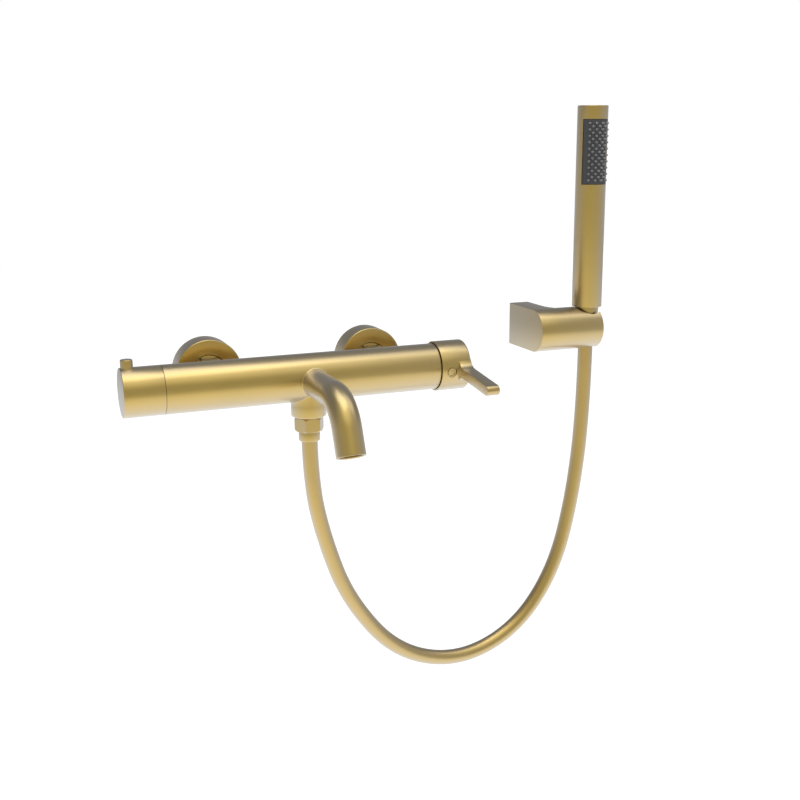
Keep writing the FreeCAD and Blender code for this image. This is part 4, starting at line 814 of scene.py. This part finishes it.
def nozzle_tree():
    tree = bpy.data.node_groups.new("nozzle_rows", "GeometryNodeTree")
    tree.interface.new_socket("Geometry", in_out="OUTPUT", socket_type="NodeSocketGeometry")
    sizes = {}
    for name, kind in (("Rows", "NodeSocketInt"), ("Columns", "NodeSocketInt"), ("Pitch", "NodeSocketFloat"),
                       ("Step Angle", "NodeSocketFloat"), ("First Height", "NodeSocketFloat"),
                       ("Radius", "NodeSocketFloat"), ("Nozzle", "NodeSocketObject"),
                       ("Finish", "NodeSocketMaterial")):
        sizes[name] = tree.interface.new_socket(name, in_out="INPUT", socket_type=kind).identifier

    def add(kind, settings=None, inputs=None):
        node = tree.nodes.new(kind)
        for key, value in (settings or {}).items():
            setattr(node, key, value)
        for key, value in (inputs or {}).items():
            if isinstance(value, bpy.types.NodeSocket):
                tree.links.new(value, node.inputs[key])
            else:
                node.inputs[key].default_value = value
        return node

    def math_node(operation, a, b=0.0, c=0.0):
        return add("ShaderNodeMath", {"operation": operation}, {0: a, 1: b, 2: c}).outputs[0]

    given = add("NodeGroupInput").outputs
    count = math_node("MULTIPLY", given["Rows"], given["Columns"])
    points = add("GeometryNodePoints", {}, {"Count": count}).outputs[0]
    index = add("GeometryNodeInputIndex").outputs[0]
    row = math_node("FLOOR", math_node("DIVIDE", index, given["Columns"]))
    column = math_node("SUBTRACT", index, math_node("MULTIPLY", row, given["Columns"]))
    centred = math_node("SUBTRACT", column, math_node("MULTIPLY_ADD", given["Columns"], 0.5, -0.5))
    angle = math_node("MULTIPLY", centred, given["Step Angle"])
    height = math_node("MULTIPLY_ADD", row, given["Pitch"], given["First Height"])
    across_x = math_node("MULTIPLY", math_node("SINE", angle), given["Radius"])
    out_y = math_node("MULTIPLY", math_node("COSINE", angle), math_node("MULTIPLY", given["Radius"], -1.0))
    place = add("ShaderNodeCombineXYZ", {}, {0: across_x, 1: out_y, 2: height}).outputs[0]
    placed = add("GeometryNodeSetPosition", {}, {"Geometry": points, "Position": place}).outputs[0]
    turn = add("ShaderNodeCombineXYZ", {}, {2: angle}).outputs[0]
    nozzle = add("GeometryNodeObjectInfo", {}, {"Object": given["Nozzle"]}).outputs["Geometry"]
    copies = add("GeometryNodeInstanceOnPoints", {}, {"Points": placed, "Instance": nozzle, "Rotation": turn})
    real = add("GeometryNodeRealizeInstances", {}, {"Geometry": copies.outputs[0]}).outputs[0]
    done = add("GeometryNodeSetMaterial", {}, {"Geometry": real, "Material": given["Finish"]}).outputs[0]
    add("NodeGroupOutput", {}, {0: done})
    return tree, sizes


tree, sizes = nozzle_tree()
print("nozzle tree nodes", len(tree.nodes))

# %% [markdown]
# ## The spray face
# The nozzle is a little rubber cone with a round tip and a hole. Its mesh points along -Y, and the
# tree turns it about the handset's axis.

# %% Nozzles and spray face
nozzle_section = [(0, 0), (0, 1.15), (2.5, 1.15), (5.15, 0.9, 0.25), (5.15, 0.4), (4.2, 0.36), (4.2, 0)]
nozzle = loose("nozzle", turned("nozzle", nozzle_section, (0, 0, 0), -Y, 16))


def nozzle_rows(rows, columns, first_height):
    grid = loose("rows", bpy.data.meshes.new("rows"))
    work = grid.modifiers.new("rows", "NODES")
    work.node_group = tree
    for name, value in (("Rows", rows), ("Columns", columns), ("Pitch", NOZZLE_PITCH * MM),
                        ("Step Angle", math.radians(NOZZLE_STEP)), ("First Height", first_height * MM),
                        ("Radius", NOZZLE_BACK * MM), ("Nozzle", nozzle),
                        ("Finish", finishes["nozzle_rubber"])):
        work[sizes[name]] = value
    depsgraph = bpy.context.evaluated_depsgraph_get()
    mesh = bpy.data.meshes.new_from_object(grid.evaluated_get(depsgraph))
    bpy.data.objects.remove(grid)
    mesh.transform(Matrix.Translation(Vector((*CONE_AT, 0)) * MM)
                   @ Matrix.Rotation(math.radians(FACE_MIDDLE + 90), 4, "Z"))
    return mesh


def joined(name, meshes):
    build = bmesh.new()
    for mesh in meshes:
        build.from_mesh(mesh)
    made = bpy.data.meshes.new(name)
    build.to_mesh(made)
    build.free()
    return smooth(made)


nozzle_meshes = [nozzle_rows(*group) for group in NOZZLE_GROUPS]
bpy.data.objects.remove(nozzle)
mat = curved_plate("mat", 10.45, 11.65, FACE_LOW + 2, FACE_HIGH - 2, FACE_HALF - 8)
add_piece("nozzles", joined("nozzles", [mat] + nozzle_meshes), "handset", ["spray_nozzles"],
          "nozzle_rubber")

face = curved_plate("spray_plate", 11.75, 13.8, FACE_LOW + 0.3, FACE_HIGH - 0.3, FACE_HALF - 2.0)
holes = []
for rows, columns, start in NOZZLE_GROUPS:
    for row in range(rows):
        for column in range(columns):
            angle = math.radians(FACE_MIDDLE + (column - (columns - 1) / 2) * NOZZLE_STEP)
            way = Vector((math.cos(angle), math.sin(angle), 0))
            hole_base = Vector((*CONE_AT, start + row * NOZZLE_PITCH)) + way * 11.2
            holes.append(pin(hole_base, way, 1.25, 3, 16))
face = combine(face, [joined("holes", holes)])
add_piece("spray_plate", face, "handset", ["spray_face"], "spray_grey")

# %% [markdown]
# ## The wall holder
# The holder is one piece: a foot with a D-shaped section, whose round front runs on as a round
# arm. At the arm's end a tapered seat takes the cone nut, and a slot lets the hose in from the end.
# The body is built as one skin, so that the foot and the arm share their round front exactly.

# %% Holder body
HOLDER_LEFT, HOLDER_FOOT, HOLDER_RIGHT = 228.5, 248.3, 294.6
HOLDER_Z = 20.2
HOLDER_OUT = 48.5
HOLDER_RADIUS = 20.15
COVE_RADIUS = 6.0
HOSE_SLOT = (-56.3, -40.7)
PLATE_POCKET = ((232.0, -30, 3.55), (244.8, 1, 36.85))


def holder_skin():
    steps = 64
    front = [(-HOLDER_OUT - HOLDER_RADIUS * math.sin(math.pi * i / steps),
              HOLDER_Z + HOLDER_RADIUS * math.cos(math.pi * i / steps)) for i in range(steps + 1)]
    back = [(-HOLDER_OUT + HOLDER_RADIUS * math.sin(math.pi * i / steps),
             HOLDER_Z - HOLDER_RADIUS * math.cos(math.pi * i / steps)) for i in range(1, steps)]
    square = [(0, HOLDER_Z - HOLDER_RADIUS), (0, HOLDER_Z + HOLDER_RADIUS)]
    foot, ring = front + square, front + back
    corners = [Vector((x, *p)) * MM for x, loop in (
        (HOLDER_LEFT, foot), (HOLDER_FOOT, foot), (HOLDER_RIGHT, ring)) for p in loop]
    corners += [Vector((HOLDER_FOOT, *p)) * MM for p in back]
    n, m = len(foot), len(ring)
    far = 2 * n
    extra = far + m
    middle = [n + i for i in range(steps + 1)] + [extra + i for i in range(steps - 1)]
    faces = [tuple(range(n))]
    faces += [(i, (i + 1) % n, n + (i + 1) % n, n + i) for i in range(n)]
    faces += [(middle[i], middle[(i + 1) % m], far + (i + 1) % m, far + i) for i in range(m)]
    faces.append(tuple(far + i for i in range(m)))
    foot_side = [n + steps, n + steps + 1, n + steps + 2, n] + [extra + i for i in reversed(range(steps - 1))]
    faces.append(tuple(foot_side))

    def at_an_end(e):
        return any(all(abs(v.co.x - x * MM) < 1e-6 for v in e.verts) for x in (HOLDER_LEFT, HOLDER_RIGHT))

    return round_edges(mesh_of("holder", corners, faces), at_an_end, 0.4, 3)


def holder_cove():
    # The hollow fillet between the foot's flat side and the back of the arm
    arm = HOLDER_RADIUS - 0.05
    hollow = [(COVE_RADIUS + p[0], arm + COVE_RADIUS + p[1])
              for p in arc((0, 0), COVE_RADIUS, 180, 270, 8)]
    section = [(-0.5, arm - 1), (-0.5, arm + COVE_RADIUS)] + hollow + [(COVE_RADIUS, arm - 1)]
    ring = turned("cove", section, (HOLDER_FOOT, -HOLDER_OUT, HOLDER_Z), X, 192)
    limits = box_mesh((HOLDER_FOOT - 0.4, -HOLDER_OUT, HOLDER_Z - HOLDER_RADIUS + 0.01),
                      (HOLDER_FOOT + 7, -0.01, HOLDER_Z + HOLDER_RADIUS - 0.01))
    return combine(ring, [limits], "INTERSECT")


seat_top = HOLDER_Z + HOLDER_RADIUS + 1
seat_section = [(-1, 0), (-1, 9.4), (5.0, 9.4), (29.0, 11.1), (34.6, 14.2), (seat_top, 14.5), (seat_top, 0)]
holder_tools = [
    turned("seat", seat_section, (*CONE_AT, 0), Z, 96),
    box_mesh((CONE_AT[0], HOSE_SLOT[0], -1), (HOLDER_RIGHT + 1, HOSE_SLOT[1], seat_top)),
    box_mesh(*PLATE_POCKET),
    pin((238.4, -7.5, -1), Z, SCREW_HOLE, 5),
]
holder = combine(combine(holder_skin(), [holder_cove()], "UNION"), holder_tools)
add_piece("holder", holder, "root", ["holder_body"], "satin_gold")

# %% [markdown]
# ## Small CAD pieces
# The rest of the CAD pieces have the right shape. Those that can be seen are copied, merged and
# shaded smooth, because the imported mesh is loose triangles. The hidden ones keep their own mesh and
# only take a finish.

# %% Smooth copies
for node in ("hot_inlet_nipple", "cold_inlet_nipple", "aerator_housing", "aerator_insert",
             "cartridge_retainer", "temperature_carrier", "lever_stem", "hot_s_union", "cold_s_union"):
    copy = NODES[node].data.copy()
    copy.name = node + "_smooth"
    add_piece(node + "_smooth", merged(copy, 1e-6), BODY_OF[node], [node], SLOT_OF[node])

# %% [markdown]
# ## The hose's length
# The photograph shows the hose from the ferrule to the holder, and only its ends are hidden, so its
# length is the length of its drawn line.

# %% [markdown]
# ## Studio
# Two soft lamps stand overhead, with a pale floor below and dimmer walls. Satin metal shows this as
# bands: bright where it sees a lamp, dark where it sees the room, and pale where it sees the floor.
# The world's brightness therefore changes with direction. The floor glows in mirrored rays alone,
# a painted pool of light that is brightest under the object and fades outwards. The camera itself
# sees the world as plain white.

# %% Floor, world and lamps
FLOOR_Z = -0.9
FLOOR_HALF = 9.0
FLOOR_SEEN = 0.75


def pale_floor():
    mesh = bpy.data.meshes.new("floor")
    s = FLOOR_HALF
    corners = [(-s, -s, FLOOR_Z), (s, -s, FLOOR_Z), (s, s, FLOOR_Z), (-s, s, FLOOR_Z)]
    mesh.from_pydata(corners, [], [(0, 1, 2, 3)])
    floor = loose("floor", mesh)
    material = bpy.data.materials.new("pale_floor")
    finish = Finish(material)
    place = finish.node("ShaderNodeTexCoord", output="Object")
    away = finish.node("ShaderNodeVectorMath", {"operation": "LENGTH"}, {0: place}, output="Value")
    # Painted pool of light: floor emission for mirrored rays, brightest under the object, fading outwards
    painted_light_pool = finish.node("ShaderNodeMapRange", {"interpolation_type": "SMOOTHSTEP"},
                       {"Value": away, 1: 0.9, 2: 7.0, 3: 0.78, 4: 0.1})
    camera_ray = finish.node("ShaderNodeLightPath", output="Is Camera Ray")
    mirrored = finish.node("ShaderNodeLightPath", output="Is Glossy Ray") \
        + finish.node("ShaderNodeLightPath", output="Is Transmission Ray")
    finish.close({
        "Base Color": (0.7, 0.7, 0.7, 1), "Roughness": 0.9, "Specular IOR Level": 0.0,
        "Emission Color": (1, 1, 1, 1), "Emission Strength": camera_ray * FLOOR_SEEN + mirrored * painted_light_pool,
    })
    mesh.materials.append(material)


def studio_world():
    world = bpy.data.worlds.new("studio")
    finish = Finish(world)
    towards = finish.node("ShaderNodeTexCoord", output="Generated")
    parts = finish.tree.nodes.new("ShaderNodeSeparateXYZ")
    finish.tree.links.new(towards.socket, parts.inputs[0])
    depth, height = Value(finish, parts.outputs[1]), Value(finish, parts.outputs[2])

    def ramp(value, low, high, at_low, at_high):
        return finish.node("ShaderNodeMapRange", {"interpolation_type": "SMOOTHSTEP"},
                           {"Value": value, 1: low, 2: high, 3: at_low, 4: at_high})

    glow = ramp(height * 0.92 - depth * 0.4, 0.76, 0.98, 0.0, 0.58)
    room_back = ramp(height, -0.1, 0.4, 0.58, 0.24) + glow
    room_front = ramp(height, -0.3, 0.2, 0.62, 0.5) + glow
    behind = ramp(depth, -0.3, 0.3, 0.0, 1.0)
    room = room_back * behind + room_front * (1 - behind)
    camera_ray = finish.node("ShaderNodeLightPath", output="Is Camera Ray")
    strength = room * (1 - camera_ray) + camera_ray
    background = finish.node("ShaderNodeBackground", {}, {"Color": (1, 1, 1, 1), "Strength": strength})
    finish.node("ShaderNodeOutputWorld", {}, {"Surface": background})
    bpy.context.scene.world = world


def soft_lamp(name, place, target, size, radiance):
    lamp = bpy.data.lights.new(name, "AREA")
    lamp.shape = "RECTANGLE"
    lamp.size, lamp.size_y = size
    lamp.energy = radiance * math.pi * size[0] * size[1]
    stand = bpy.data.objects.new(name, lamp)
    stand.location = place
    stand.rotation_euler = (Vector(target) - Vector(place)).to_track_quat("-Z", "Y").to_euler()
    bpy.context.scene.collection.objects.link(stand)
    print(name, "energy", round(lamp.energy, 1))


pale_floor()
studio_world()
soft_lamp("overhead", (-0.15, -0.1, 1.7), (-0.05, -0.05, 0.0), (1.5, 1.0), 1.38)
soft_lamp("overhead_right", (1.15, -0.1, 1.7), (0.05, -0.05, 0.0), (1.0, 1.7), 0.85)
bpy.context.scene.view_settings.view_transform = "Standard"
